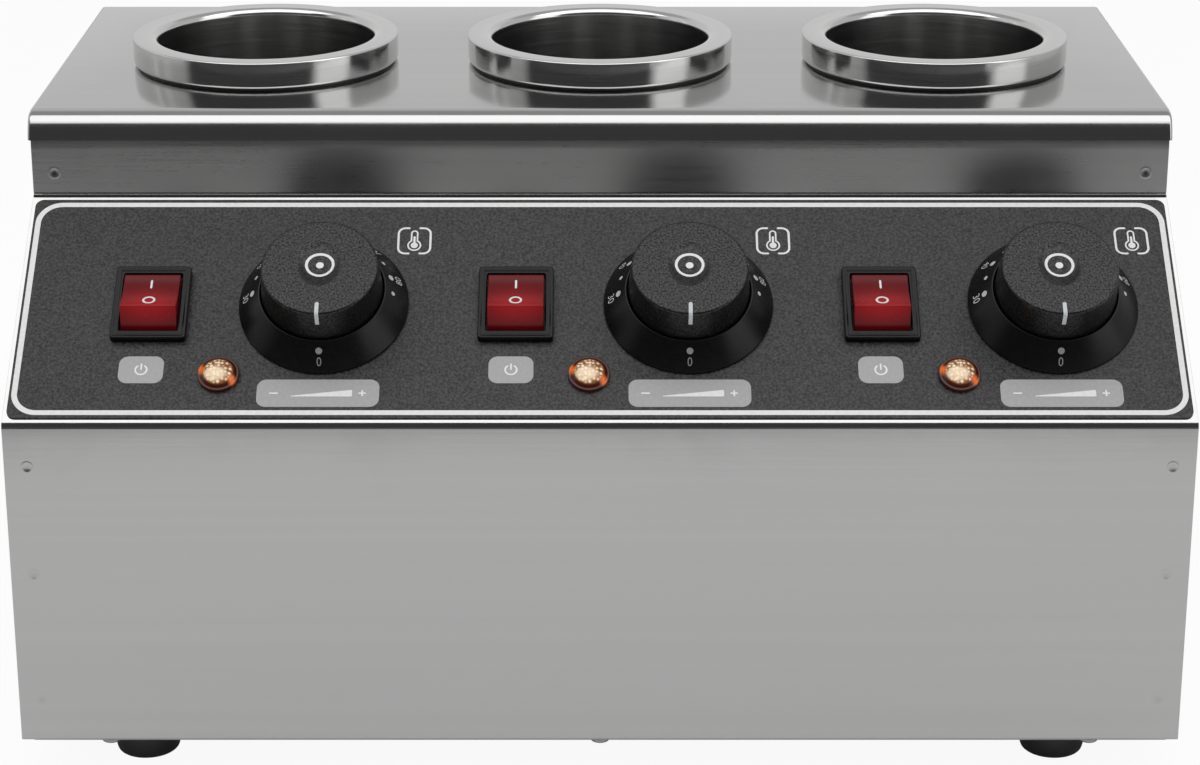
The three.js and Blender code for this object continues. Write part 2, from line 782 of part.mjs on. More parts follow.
// Switch housing: chamfered bezel on the panel, body behind it, mouth for the rocker, three blades
function switchHousing() {
  const bottom = panelFace - switchBodyDepth;
  const bezel = new THREE.ExtrudeGeometry(
    roundedRectangle(bezelWidth - 2 * bezelEdge, bezelLength - 2 * bezelEdge, bezelCornerRadius),
    {
      depth: bezelHeight - 2 * bezelEdge,
      bevelThickness: bezelEdge,
      bevelSize: bezelEdge,
      bevelSegments: 1,
    },
  ).translate(0, 0, panelFace + bezelEdge);
  const body = prism(roundedRectangle(switchBodyWidth, switchBodyLength, bezelCornerRadius),
    switchBodyDepth + bezelEdge).translate(0, 0, bottom);
  const blades = [-1, 0, 1].map((step) => box(-bladeWidth / 2, bladeWidth / 2,
    step * switchBladeSpread - bladeWall / 2, step * switchBladeSpread + bladeWall / 2,
    bottom - bladeLength, bottom + lapGap));
  const [across, up] = [switchMouthWidth / 2, switchMouthLength / 2];
  const mouth = box(-across, across, -up, up, bezelFace - switchMouthDepth, bezelFace + cutOverrun);
  const pinLength = switchBodyWidth + 2 * cutOverrun;
  const pinHoles = rod(rockerPinRadius + fitGap, pinLength, smallRoundSteps)
    .translate(0, 0, -pinLength / 2)
    .rotateY(Math.PI / 2)
    .translate(0, 0, rockerPivot);
  return cut(join([bezel, body, ...blades]), [mouth, pinHoles]);
}

// Rocker about its pivot at the origin: dished face, tapered ends and a pin at each side
function rocker() {
  const half = switchMouthWidth / 2 - fitGap;
  const body = acrossX([
    [rockerFaceHalf, rockerFaceHeight],
    [0, rockerFaceHeight - rockerFaceDish],
    [-rockerFaceHalf, rockerFaceHeight],
    [-rockerShoulderHalf, rockerShoulderHeight],
    [-rockerKeelHalf, -rockerKeelDrop],
    [rockerKeelHalf, -rockerKeelDrop],
    [rockerShoulderHalf, rockerShoulderHeight],
  ], -half, half);
  const pinLength = switchBodyWidth;
  const pins = rod(rockerPinRadius, pinLength, smallRoundSteps)
    .translate(0, 0, -pinLength / 2)
    .rotateY(Math.PI / 2);
  return join([body, pins]);
}

function lampLens() {
  const rimTop = panelFace + lensRimHeight;
  return join([
    revolve([
      [0, -lampBarrelDepth],
      [lampBarrelRadius, -lampBarrelDepth],
      [lampBarrelRadius, panelFace],
      [lensRadius, panelFace],
      [lensRadius, rimTop],
      [(lensRadius + lensTopRadius) / 2, rimTop + lensDomeHeight * Math.SQRT1_2],
      [lensTopRadius, rimTop + lensDomeHeight],
      [0, rimTop + lensDomeHeight],
    ], smallRoundSteps),
    ...[-1, 1].map((sign) => box(-lampBladeWidth / 2, lampBladeWidth / 2,
      sign * lampBladeSpread - bladeWall / 2, sign * lampBladeSpread + bladeWall / 2,
      -lampBarrelDepth - bladeLength, -lampBarrelDepth + lapGap)),
  ]);
}

function lampClip() {
  return revolve([
    [lampBarrelRadius + fitGap, panelBack],
    [clipRadius, panelBack],
    [clipRadius, panelBack - clipWall],
    [lampBarrelRadius + fitGap, panelBack - clipWall],
  ], smallRoundSteps);
}

// Bulb upright against the front of the well, and its capillary down and forward to the thermostat
function sensorBulb(across) {
  const bulbBase = deckHeight - wellDepth + heaterAboveFloor + heaterHeight + bulbAboveHeater;
  const bulbY = wellSetback - wellWallRadius - fitGap - bulbRadius;
  const thermostatBack = panelBack - bracketWall - thermostatDepth - fitGap;
  const end = new THREE.Vector3(across + knobAcross, knobUp, thermostatBack).applyMatrix4(panelMatrix);
  const beforeEnd = new THREE.Vector3(across + knobAcross, knobUp, thermostatBack - capillaryForward)
    .applyMatrix4(panelMatrix);
  const curve = new THREE.CatmullRomCurve3([
    new THREE.Vector3(across, bulbY, bulbBase + bulbRadius),
    new THREE.Vector3(across, bulbY - bulbRadius, bulbBase - bulbAboveHeater / 2),
    new THREE.Vector3(across + knobAcross / 2, (bulbY + beforeEnd.y) / 2, bulbBase - capillaryDip),
    beforeEnd,
    end,
  ]);
  return join([
    rod(bulbRadius, bulbLength, screwSteps).translate(across, bulbY, bulbBase),
    tube(curve, capillaryRadius, capillarySides, capillarySteps),
  ]);
}

// Cable gland: flange and tapered cap outside, thread through the panel, open bore. Z runs outwards.
function cableGland() {
  const flangeTop = fitGap + glandFlangeWall;
  return revolve([
    [glandBoreRadius, -glandInnerLength],
    [glandThreadRadius, -glandInnerLength],
    [glandThreadRadius, fitGap],
    [glandFlangeRadius, fitGap],
    [glandFlangeRadius, flangeTop],
    [glandCapRadius, flangeTop],
    [glandCapRadius, flangeTop + glandCapLength / 2],
    [glandCapNose, flangeTop + glandCapLength],
    [glandBoreRadius, flangeTop + glandCapLength],
  ], smallRoundSteps);
}

function glandLocknut() {
  const bore = rod(glandThreadRadius + fitGap, locknutWall + 2 * cutOverrun, smallRoundSteps)
    .translate(0, 0, -cutOverrun);
  return cut(rod(locknutRadius, locknutWall, hexSides), [bore])
    .translate(0, 0, -sheet - fitGap - locknutWall);
}

// Terminal block: a bar with raised barriers between its ways
function terminalBlock() {
  const points = [];
  const width = terminalWays * terminalWayWidth + (terminalWays + 1) * terminalBarrier;
  for (let way = 0; way <= terminalWays; way += 1) {
    const x = way * (terminalWayWidth + terminalBarrier) - width / 2;
    points.push([x, terminalBlockHeight], [x, terminalBlockHeight + terminalBarrierHeight]);
    points.push([x + terminalBarrier, terminalBlockHeight + terminalBarrierHeight]);
    points.push([x + terminalBarrier, terminalBlockHeight]);
  }
  points.splice(0, 1);
  points.splice(-1, 1);
  points.push([width / 2, 0]);
  points.unshift([-width / 2, 0]);
  return prism(shapeOf(points.reverse()), terminalDepth)
    .rotateX(Math.PI / 2)
    .translate(0, terminalDepth / 2, 0);
}

// Sleeved wires from the terminal block, forward between two wells and along behind the panel
function wiringLoom() {
  const start = terminalSetback - terminalDepth / 2 - fitGap;
  const low = terminalBlockHeight / 2 + plateTop + fitGap;
  const curve = new THREE.CatmullRomCurve3([
    new THREE.Vector3(terminalAcross, start, low),
    new THREE.Vector3(terminalAcross, start - loomBendLength, low),
    new THREE.Vector3(terminalAcross, loomSetback + 2 * loomBendLength, low),
    new THREE.Vector3(terminalAcross, loomSetback + loomBendLength / 2, loomHeight / 2),
    new THREE.Vector3(terminalAcross - loomBendLength, loomSetback, loomHeight),
    new THREE.Vector3(terminalAcross / 2 - loomBendLength, loomSetback, loomHeight),
    new THREE.Vector3(loomEndAcross + loomBendLength, loomSetback, loomHeight),
    new THREE.Vector3(loomEndAcross, loomSetback, loomHeight),
  ]);
  return tube(curve, loomRadius, loomSides, loomSteps);
}

function addCabinet(cabinet) {
  addMesh(cabinet, 'top_deck', topDeck(), brushedSteel);
  addMesh(cabinet, 'front_shell', frontShell(), brushedSteel);
  addMesh(cabinet, 'left_side_panel', sidePanel(-1), brushedSteel);
  addMesh(cabinet, 'right_side_panel', sidePanel(1), brushedSteel);
  addMesh(cabinet, 'back_panel', backPanel(), brushedSteel);
  addMesh(cabinet, 'bottom_plate', bottomPlate(), platedSteel);
  for (const { name, x, y } of plateScrewPlaces()) {
    const place = groupAt(cabinet, x, y, plateBottom - fitGap);
    addMesh(place, name, screw(plateScrewHeadRadius, plateScrewHeadHeight, plateScrewShankRadius,
      plateScrewShankLength), platedSteel);
  }
  for (const { name, x, y } of footPlaces()) {
    const place = groupAt(cabinet, x, y, 0);
    addMesh(place, name, foot().translate(0, 0, -footReach), blackRubber);
    addMesh(place, `${name}_screw`, footScrew(), platedSteel);
  }
}

function addSupply(cabinet) {
  const gland = groupAt(cabinet, glandAcross, backFace, glandUp);
  gland.rotation.x = -Math.PI / 2;
  addMesh(gland, 'cable_gland', cableGland(), blackPlastic);
  addMesh(gland, 'gland_locknut', glandLocknut(), blackPlastic);
  const terminals = groupAt(cabinet, terminalAcross, terminalSetback, plateTop + fitGap);
  addMesh(terminals, 'terminal_block', terminalBlock(), whiteCeramic);
  addMesh(cabinet, 'wiring_loom', wiringLoom(), wireSleeve);
}

function addWell(cabinet, { side, across }) {
  const place = groupAt(cabinet, across, wellSetback, deckHeight);
  addMesh(place, `${side}_well`, well(), drawnSteel);
  addMesh(place, `${side}_well_gasket`, wellGasket(), blackRubber);
  const heater = groupAt(place, 0, 0, heaterAboveFloor - wellDepth);
  addMesh(heater, `${side}_heater_band`, heaterBand(), heaterJacket);
  addMesh(cabinet, `${side}_sensor_bulb`, sensorBulb(across), copper);
}

function addControls(panel, { side, across }) {
  const switchPlace = groupAt(panel, across + switchAcross, switchUp, 0);
  addMesh(switchPlace, `${side}_switch_housing`, switchHousing(), blackPlastic);
  const pivot = groupAt(switchPlace, 0, 0, rockerPivot);
  pivot.rotation.x = -rockerTilt;
  addMesh(pivot, `${side}_rocker`, rocker(), redPlastic);
  const lampPlace = groupAt(panel, across + lampAcross, lampUp, 0);
  addMesh(lampPlace, `${side}_lamp_lens`, lampLens(), amberPlastic);
  addMesh(lampPlace, `${side}_lamp_clip`, lampClip(), blackPlastic);
  const knobPlace = groupAt(panel, across + knobAcross, knobUp, 0);
  addMesh(knobPlace, `${side}_dial_ring`, dialRing(), blackPlastic);
  addMesh(knobPlace, `${side}_knob`, knob(), knobPlastic);
  addMesh(knobPlace, `${side}_thermostat_shaft`, thermostatShaft(), platedSteel);
  addMesh(knobPlace, `${side}_thermostat`, thermostat(), platedSteel);
}

function sauceWarmer() {
  const warmer = new THREE.Group();
  const cabinet = groupAt(warmer, 0, -wholeDepth / 2, footReach);
  addCabinet(cabinet);
  addSupply(cabinet);
  for (const each of modules) addWell(cabinet, each);
  const panel = groupAt(cabinet, 0, 0, lowerFaceHeight);
  panel.rotation.x = slopeAngle;
  addMesh(panel, 'control_overlay', controlOverlay(), overlayFilm);
  for (const each of modules) addControls(panel, each);
  return warmer;
}

export default sauceWarmer();
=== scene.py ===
"""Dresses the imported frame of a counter-top sauce warmer: a stainless cabinet with three round
wells in its deck and, per well, a rocker switch, an indicator lamp and a thermostat knob on a
sloped panel.
Metres, +Z up, the front looks along -Y. Sizes are set in millimetres times MM.
"""

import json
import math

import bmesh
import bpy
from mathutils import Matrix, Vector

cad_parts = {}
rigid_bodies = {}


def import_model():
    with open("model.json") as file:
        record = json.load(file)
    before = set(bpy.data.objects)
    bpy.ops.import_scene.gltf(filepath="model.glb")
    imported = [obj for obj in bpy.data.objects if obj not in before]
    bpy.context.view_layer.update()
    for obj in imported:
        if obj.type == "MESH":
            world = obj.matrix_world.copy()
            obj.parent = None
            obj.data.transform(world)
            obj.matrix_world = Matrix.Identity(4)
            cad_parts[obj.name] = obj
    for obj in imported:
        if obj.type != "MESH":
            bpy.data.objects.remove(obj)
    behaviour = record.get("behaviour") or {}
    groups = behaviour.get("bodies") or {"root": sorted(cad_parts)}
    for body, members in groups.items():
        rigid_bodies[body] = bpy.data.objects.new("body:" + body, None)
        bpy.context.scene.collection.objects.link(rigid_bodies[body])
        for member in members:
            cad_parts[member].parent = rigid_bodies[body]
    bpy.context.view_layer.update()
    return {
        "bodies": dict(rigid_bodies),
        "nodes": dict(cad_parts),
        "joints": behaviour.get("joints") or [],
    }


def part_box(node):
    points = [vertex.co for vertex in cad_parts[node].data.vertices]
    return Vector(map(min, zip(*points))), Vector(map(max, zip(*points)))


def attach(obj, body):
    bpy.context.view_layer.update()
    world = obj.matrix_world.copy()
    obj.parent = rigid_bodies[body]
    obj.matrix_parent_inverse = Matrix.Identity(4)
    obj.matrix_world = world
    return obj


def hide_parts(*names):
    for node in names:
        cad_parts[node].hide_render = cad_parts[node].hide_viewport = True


bl_info = {
    "name": "Sauce warmer finish",
    "version": (1, 0, 0),
    "blender": (4, 5, 0),
    "location": "3D Viewport > Sidebar > Sauce warmer",
    "description": "Builds the finished pieces of a three-well sauce warmer round its packed frame",
    "category": "Object",
}

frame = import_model()

MM = 0.001
RIGHT_ANGLE = math.pi / 2
SIDES = ("left", "centre", "right")
FEET = ("front_left_foot", "front_right_foot", "rear_left_foot", "rear_right_foot")
JOINTS = {joint["name"]: joint for joint in frame["joints"]}


def low(node):
    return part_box(node)[0]


def high(node):
    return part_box(node)[1]


def middle(node):
    return (low(node) + high(node)) / 2


def half_width(node):
    return (high(node).x - low(node).x) / 2


# Places of the frame that the finished pieces share
BODY_HALF = high("front_shell").x
FRONT = low("front_shell").y
BASE = low("front_shell").z
BACK = high("back_panel").y
DECK_TOP = high("back_panel").z + (high("top_deck").y - high("back_panel").y)
FASCIA = low("top_deck").y
PANEL_OUT = -Vector(JOINTS["centre_knob_turn"]["axis"])
PANEL_UP = PANEL_OUT.cross(Vector((1, 0, 0)))


def crease():
    """Point in the middle of the lower edge of the slope."""
    knob = Vector(JOINTS["centre_knob_turn"]["pos_m"])
    point = knob - PANEL_UP * ((knob.y - FRONT) / PANEL_UP.y)
    return Vector((0, point.y, point.z))


def axes_at(point, across, up, out):
    """Matrix of a place with its own X, Y and Z directions."""
    turn = Matrix((across, up, out)).transposed().to_4x4()
    return Matrix.Translation(point) @ turn


PANEL = axes_at(crease(), Vector((1, 0, 0)), PANEL_UP, PANEL_OUT)
SLOPE_LENGTH = (FASCIA - FRONT) / PANEL_UP.y


def on_panel(across, up, out=0.0):
    """Matrix of a place on the sloped panel: X across, Y up the slope, Z out of it."""
    return PANEL @ Matrix.Translation((across, up, out))


def at_joint(name):
    """Matrix of a joint's place, with the panel's directions."""
    turn = PANEL.to_quaternion().to_matrix().to_4x4()
    return Matrix.Translation(Vector(JOINTS[name]["pos_m"])) @ turn


def module_across(side):
    return middle(f"{side}_well").x


# Settings
def length(name, default, description):
    return bpy.props.FloatProperty(
        name=name, description=description, default=default, unit="LENGTH", precision=5)


def angle(name, degrees, description):
    return bpy.props.FloatProperty(
        name=name, description=description, default=math.radians(degrees), subtype="ANGLE")


def share(name, default, description):
    return bpy.props.FloatProperty(
        name=name, description=description, default=default, min=0.0, max=1.0, subtype="FACTOR")


def number(name, default, description):
    return bpy.props.FloatProperty(name=name, description=description, default=default)


def whole(name, default, description):
    return bpy.props.IntProperty(name=name, description=description, default=default, min=1)


def colour(name, default, description):
    return bpy.props.FloatVectorProperty(
        name=name, description=description, default=default, size=3, min=0.0, max=1.0,
        subtype="COLOR")


class CabinetSizes(bpy.types.PropertyGroup):
    sheet: length("Sheet", 0.8 * MM, "Wall of the cabinet's sheet")
    bend: length("Bend radius", 1.3 * MM, "Outside radius of the sheet's bends")
    crease: length("Crease radius", 3.7 * MM, "Radius between the upright front and the slope")
    tray_corner: length("Side corner", 2.6 * MM, "Radius of the square corners of the side panels")
    tray_fold: length("Side fold", 4.6 * MM, "Radius of the side panels at the crease")
    tray_step: length("Side step", 2 * MM, "Radius of the sides where the slope meets the fascia")
    tray_nose: length("Side nose", 8 * MM, "Radius of the side panels under the bullnose")
    base_corner: length("Base corner", 2 * MM, "Corner radius of the bottom plate")
    bullnose: length("Bullnose radius", 6.2 * MM, "Radius in the middle of the deck's front bend")
    bullnose_lead: length("Bullnose lead", 18 * MM, "Radius where the bend leaves the deck")
    bullnose_lead_turn: angle("Bullnose lead turn", 12, "Turn where the bend leaves the deck")
    bullnose_low: length("Bullnose fall", 15.6 * MM, "Radius of the slack lower part of the bend")
    bullnose_low_turn: angle("Bullnose fall turn", 24, "Turn of the slack lower part of the bend")
    bullnose_lean: angle("Bullnose lean", 7, "Lean that the bend keeps at its lower edge")
    fascia_back: length("Fascia set-back", 0.6 * MM, "Step of the fascia behind the bend's edge")
    fascia_curl: length("Fascia curl", 25 * MM, "Radius where the fascia leans in under the bend")
    fascia_curl_turn: angle("Fascia curl turn", 14, "Turn of the fascia's lean")
    fascia_curl_drop: length("Fascia curl drop", 3.5 * MM, "Drop from the bend to the lean's start")
    cut_edge: length("Cut edge", 0.12 * MM, "Rounding of the sheet's cut edges")
    flange: length("Flange", 14 * MM, "Width of the flanges of the front shell and the back panel")
    tray_flange: length("Side flange", 12 * MM, "Width of the flanges of the side panels")
    tray_gap: length("Flange gap", 0.2 * MM, "Gap between a side flange and its neighbours")
    lap: length("Lap", 1 * MM, "One sheet and the gap over it")
    skirt_drop: length("Deck skirt", 7 * MM, "Drop of the deck's sides and back over the cabinet")
    foot_gap: length("Fascia foot", 0.1 * MM, "Rise of the fascia's foot over the deck's low edge")
    # The black strip at the fascia's foot is painted shade: a dark piece that stands in for the
    # shadow in the gap there.
    shade_strip_width: length("Fascia seal", 1.05 * MM, "Width of the black seal at the fascia's foot")
    shade_strip_wall: length("Seal wall", 0.35 * MM, "Thickness of the black seal")
    shade_strip_drop: length("Seal drop", 0.17 * MM, "Middle of the seal below the slope's upper end")
    lip: length("Lip", 14 * MM, "Height of the front shell's lip behind the fascia")
    vent_length: length("Vent length", 44 * MM, "Length of a vent slot")
    vent_width: length("Vent width", 4 * MM, "Width of a vent slot")
    vent_pitch: length("Vent pitch", 11 * MM, "Distance between rows of vents")
    vent_gap: length("Vent column gap", 66 * MM, "Distance between the two columns of vents")
    back_vent_up: length("Back vents", 64 * MM, "Height of the middle back vents over the base")
    bottom_vent_in: length("Bottom vents", 125 * MM, "Distance of the middle vents from the back")
    weld_radius: length("Weld mark", 2.2 * MM, "Radius of a weld mark in the sheet")
    weld_inset: length("Weld inset", 7.8 * MM, "Distance of the weld marks from the sides")
    weld_top: length("Weld top", 15.6 * MM, "Distance of the highest weld mark under the crease")
    weld_foot: length("Weld foot", 15.7 * MM, "Height of the lowest weld mark over the base")
    weld_rise: length("Weld rise", 3.7 * MM, "Rise of the middle weld mark over the front's middle")
    weld_deck_drop: length("Weld drop", 21.3 * MM, "Drop of the fascia's weld marks under the deck")


class WellSizes(bpy.types.PropertyGroup):
    bore: length("Bore", 40 * MM, "Radius of a well's bore")
    wall: length("Wall", 1 * MM, "Wall of the drawn sheet")
    floor_round: length("Floor rounding", 9 * MM, "Radius between the bore and the floor")
    outer_round: length("Outer rounding", 0.6 * MM, "Radius round the outside of the collar")
    inner_round: length("Inner rounding", 2.6 * MM, "Radius between the collar and the bore")
    foot_round: length("Skirt rounding", 1.6 * MM, "Outside rounding at the foot of the collar")
    skirt_up: length("Skirt height", 0.6 * MM, "Height of the skirt's foot over the deck")
    skirt_turn: length("Skirt turn", 2.6 * MM, "Width of the skirt's turned-in foot")
    seal: length("Seal", 48 * MM, "Outer radius of the seal under the skirt")
    deck_hole: length("Deck hole", 42.2 * MM, "Radius of the deck's hole and the gasket's bore")


class PanelSizes(bpy.types.PropertyGroup):
    face: length("Face", 1 * MM, "Height of the seat of the controls over the steel slope")
    film_drop: length("Film drop", 0.3 * MM, "Drop of the film's face under the controls' seat")
    film_gap: length("Film gap", 0.04 * MM, "Height of the film's back over the steel slope")
    side_margin: length("Side margin", 1.4 * MM, "Steel left bare at each end of the overlay")
    lower_margin: length("Lower margin", 1.95 * MM, "Steel left bare under the overlay")
    upper_margin: length("Upper margin", 2.4 * MM, "Steel left bare over the overlay")
    corner: length("Corner", 3 * MM, "Corner radius of the overlay")
    print_height: length("Print height", 0.02 * MM, "Height of the print over the film")
    line: length("Frame line", 1.9 * MM, "Width of the printed frame line")
    line_side_inset: length("Side inset", 0.85 * MM, "Film left beside the frame line")
    line_inset: length("Frame line inset", 1.4 * MM, "Film left over the frame line")
    line_foot_inset: length("Frame line foot inset", 1.2 * MM, "Film left under the frame line")
    line_corner: length("Frame line corner", 9 * MM, "Corner radius of the frame line")
    switch_plate_across: length("Switch plate across", -30.1 * MM, "From the middle of its well")
    switch_plate_up: length("Switch plate up", 21.7 * MM, "Up the slope")
    switch_plate_width: length("Switch plate width", 15.2 * MM, "Width of the grey plate")
    switch_plate_length: length("Switch plate", 11.1 * MM, "Length up the slope of the plate")
    dial_plate_across: length("Dial plate across", 30.2 * MM, "From the middle of its well")
    dial_plate_up: length("Dial plate up", 12.05 * MM, "Up the slope")
    dial_plate_width: length("Dial plate width", 41.2 * MM, "Width of the grey plate")
    dial_plate_length: length("Dial plate length", 11.2 * MM, "Length up the slope of the plate")
    plate_corner: length("Plate corner", 3.2 * MM, "Corner radius of both grey plates")
    thermometer_across: length("Thermometer across", 60.3 * MM, "From the middle of its well")
    thermometer_up: length("Thermometer up", 76.9 * MM, "Up the slope")
    thermometer_frame: length("Thermometer frame", 11.9 * MM, "Size of the thermometer's brackets")
    stroke: length("Stroke", 0.75 * MM, "Width of the printed lines")


class SwitchSizes(bpy.types.PropertyGroup):
    across: length("Across", -28.8 * MM, "From the middle of its well")
    bezel_width: length("Bezel width", 25.8 * MM, "Width of the bezel")
    bezel_length: length("Bezel length", 30.7 * MM, "Length of the bezel up the slope")
    bezel_height: length("Bezel height", 2.5 * MM, "Height of the bezel over its seat")
    bezel_edge: length("Bezel edge", 0.5 * MM, "Rounding of the bezel's edge")
    corner: length("Corner", 1.4 * MM, "Corner radius of the bezel")
    mouth_width: length("Mouth width", 20.2 * MM, "Width of the rocker's opening")
    mouth_length: length("Mouth length", 24.3 * MM, "Length of the rocker's opening")
    mouth_depth: length("Mouth depth", 14 * MM, "Depth of the rocker's opening")
    groove: length("Groove", 0.14 * MM, "Depth of the groove round the bezel")
    body_depth: length("Body depth", 22 * MM, "Depth of the housing behind its seat")
    tilt: angle("Tilt", 14, "Lean of the rocker at rest")
    face_half: length("Rocker face", 8.3 * MM, "Half of the length of the rocker's face")
    face_height: length("Rocker height", 10 * MM, "Height of the rocker's face over its pivot")
    dish: length("Rocker dish", 1.1 * MM, "Depth of the rocker's dished face")
    shoulder_half: length("Shoulder", 11.7 * MM, "Half of the rocker's length at its shoulder")
    shoulder_height: length("Shoulder height", 1 * MM, "Height of the shoulder over the pivot")
    keel_half: length("Keel", 7 * MM, "Half of the length of the rocker's underside")
    keel_drop: length("Keel drop", 4 * MM, "Depth of the rocker's underside below its pivot")
    edge: length("Rocker edge", 0.5 * MM, "Rounding of the rocker's edges")
    fit: length("Fit", 0.5 * MM, "Gap beside the rocker")
    ridge: length("Ridge", 0.35 * MM, "Softness of the rocker's moulded edges")


class LampSizes(bpy.types.PropertyGroup):
    across: length("Across", -3.7 * MM, "From the middle of its well")
    up: length("Up", 19.3 * MM, "Up the slope")
    rim: length("Rim", 1.2 * MM, "Height of the lens's rim over its seat")
    dome: length("Dome", 2.4 * MM, "Height of the dome over the rim")
    barrel: length("Barrel", 5 * MM, "Radius of the barrel behind the panel")
    barrel_depth: length("Barrel depth", 17 * MM, "Depth of the barrel behind the steel slope")
    cell: length("Cell", 1.3 * MM, "Pitch of the cells moulded in the lens")


class DialSizes(bpy.types.PropertyGroup):
    edge: length("Edge", 0.7 * MM, "Height of the upright edge at the foot of the cone")
    height: length("Height", 8.9 * MM, "Height of the ring over its seat")
    floor: length("Floor", 2 * MM, "Height of the floor under the knob")
    lip: length("Lip", 21.8 * MM, "Outer radius of the lip round the knob")
    lip_width: length("Lip width", 0.6 * MM, "Width of the lip round the knob")
    bush: length("Bush hole", 5.4 * MM, "Radius of the hole for the bush")
    digit: length("Digit", 3.2 * MM, "Height of the digits")
    digit_down: length("Digit down", 7.3 * MM, "Distance of the digits down the cone")
    dot: length("Dot", 1.15 * MM, "Radius of the zero dot and the numbered dots")
    small_dot: length("Small dot", 0.8 * MM, "Radius of the dots between the numbers")
    dot_down: length("Dot down", 3.4 * MM, "Distance of the dots down the cone")
    first_mark: angle("First mark", 90, "Clockwise from the zero dot to the first scale dot")
    mark_step: angle("Mark step", 16.35, "Turn between scale dots")
    marks: whole("Marks", 12, "Scale dots round the dial")
    first_number: whole("First number", 30, "Number at the first scale dot")
    number_step: whole("Number step", 10, "What each number adds")


class KnobSizes(bpy.types.PropertyGroup):
    top: length("Top radius", 19.8 * MM, "Radius of the knob at its top")
    reach: length("Reach", 22.6 * MM, "Height of the knob's top over the steel slope")
    foot: length("Foot", 3.7 * MM, "Height of the knob's foot over the steel slope")
    edge: length("Edge", 1 * MM, "Rounding of the knob's top edge")
    wall: length("Wall", 1.8 * MM, "Wall of the knob's skirt")
    crown: length("Crown", 2 * MM, "Wall of the knob's top")
    boss: length("Boss", 5.6 * MM, "Radius of the boss on the shaft")
    boss_bore: length("Boss bore", 3.3 * MM, "Radius of the bore in the boss")
    boss_depth: length("Boss bore depth", 13.3 * MM, "Depth of the bore in the boss")
    dish: length("Dish half width", 7.3 * MM, "Half of the oval dish's width in the knob's top")
    dish_half: length("Dish half length", 9.7 * MM, "Half of the length of the oval dish")
    dish_back: length("Dish back", 1.7 * MM, "Distance of the dish behind the knob's axis")
    dish_depth: length("Dish depth", 1.5 * MM, "Depth of the oval dish in the knob's top")
    ring: length("Ring", 5 * MM, "Outer radius of the printed ring in the dish")
    ring_line: length("Ring line", 0.95 * MM, "Width of the printed ring")
    pointer: length("Pointer width", 1.35 * MM, "Width of the pointer line")
    pointer_start: length("Pointer start", 14.9 * MM, "Radius at which the pointer line starts")
    pointer_drop: length("Pointer drop", 5.4 * MM, "How far the pointer line runs down the side")


class FastenerSizes(bpy.types.PropertyGroup):
    foot_extra: length("Foot extra", 1.2 * MM, "What the brim adds to the frame foot's radius")
    foot_base: length("Foot base", 10.6 * MM, "Radius of a foot on the counter")
    foot_neck: length("Foot neck", 3.6 * MM, "Distance of a foot's neck from its top")
    foot_brim: length("Foot brim", 2.4 * MM, "Height of the brim")
    foot_recess: length("Foot recess", 4.8 * MM, "Radius of the recess for a foot's screw")
    foot_recess_depth: length("Foot recess depth", 6 * MM, "Depth of that recess")
    foot_head: length("Foot screw head", 3.9 * MM, "Radius of the head of a foot's screw")
    foot_head_height: length("Foot screw head height", 2.2 * MM, "Height of that head")
    plate_head: length("Plate screw head", 3.6 * MM, "Radius of a bottom plate screw's head")
    plate_head_height: length("Plate screw head height", 1.8 * MM, "Height of that head")


class StageSizes(bpy.types.PropertyGroup):
    camera_back: length("Camera back", 1076.14 * MM, "Distance of the camera from the middle")
    camera_up: length("Camera up", 485.24 * MM, "Height of the camera over the counter")
    camera_pitch: angle("Camera pitch", 18.56, "Downward tilt of the camera")
    lens: number("Lens", 90.51, "Focal length in millimetres")
    sensor: number("Sensor", 36.0, "Sensor width in millimetres")
    shift: number("Shift", -0.0543, "Upward shift as a share of the picture's width")
    softbox_power: number("Softbox", 15.5, "Power of the overhead softbox in watts")
    front_power: number("Front lamp", 7.0, "Power of the front fill lamp in watts")
    fill: share("Fill", 0.42, "Strength of the even light all round")
    ceiling: share("Ceiling", 0.5, "Brightness of the studio's ceiling in reflections")
    floor_white: share("Floor white", 0.93, "Share of pure white in the floor the camera sees")


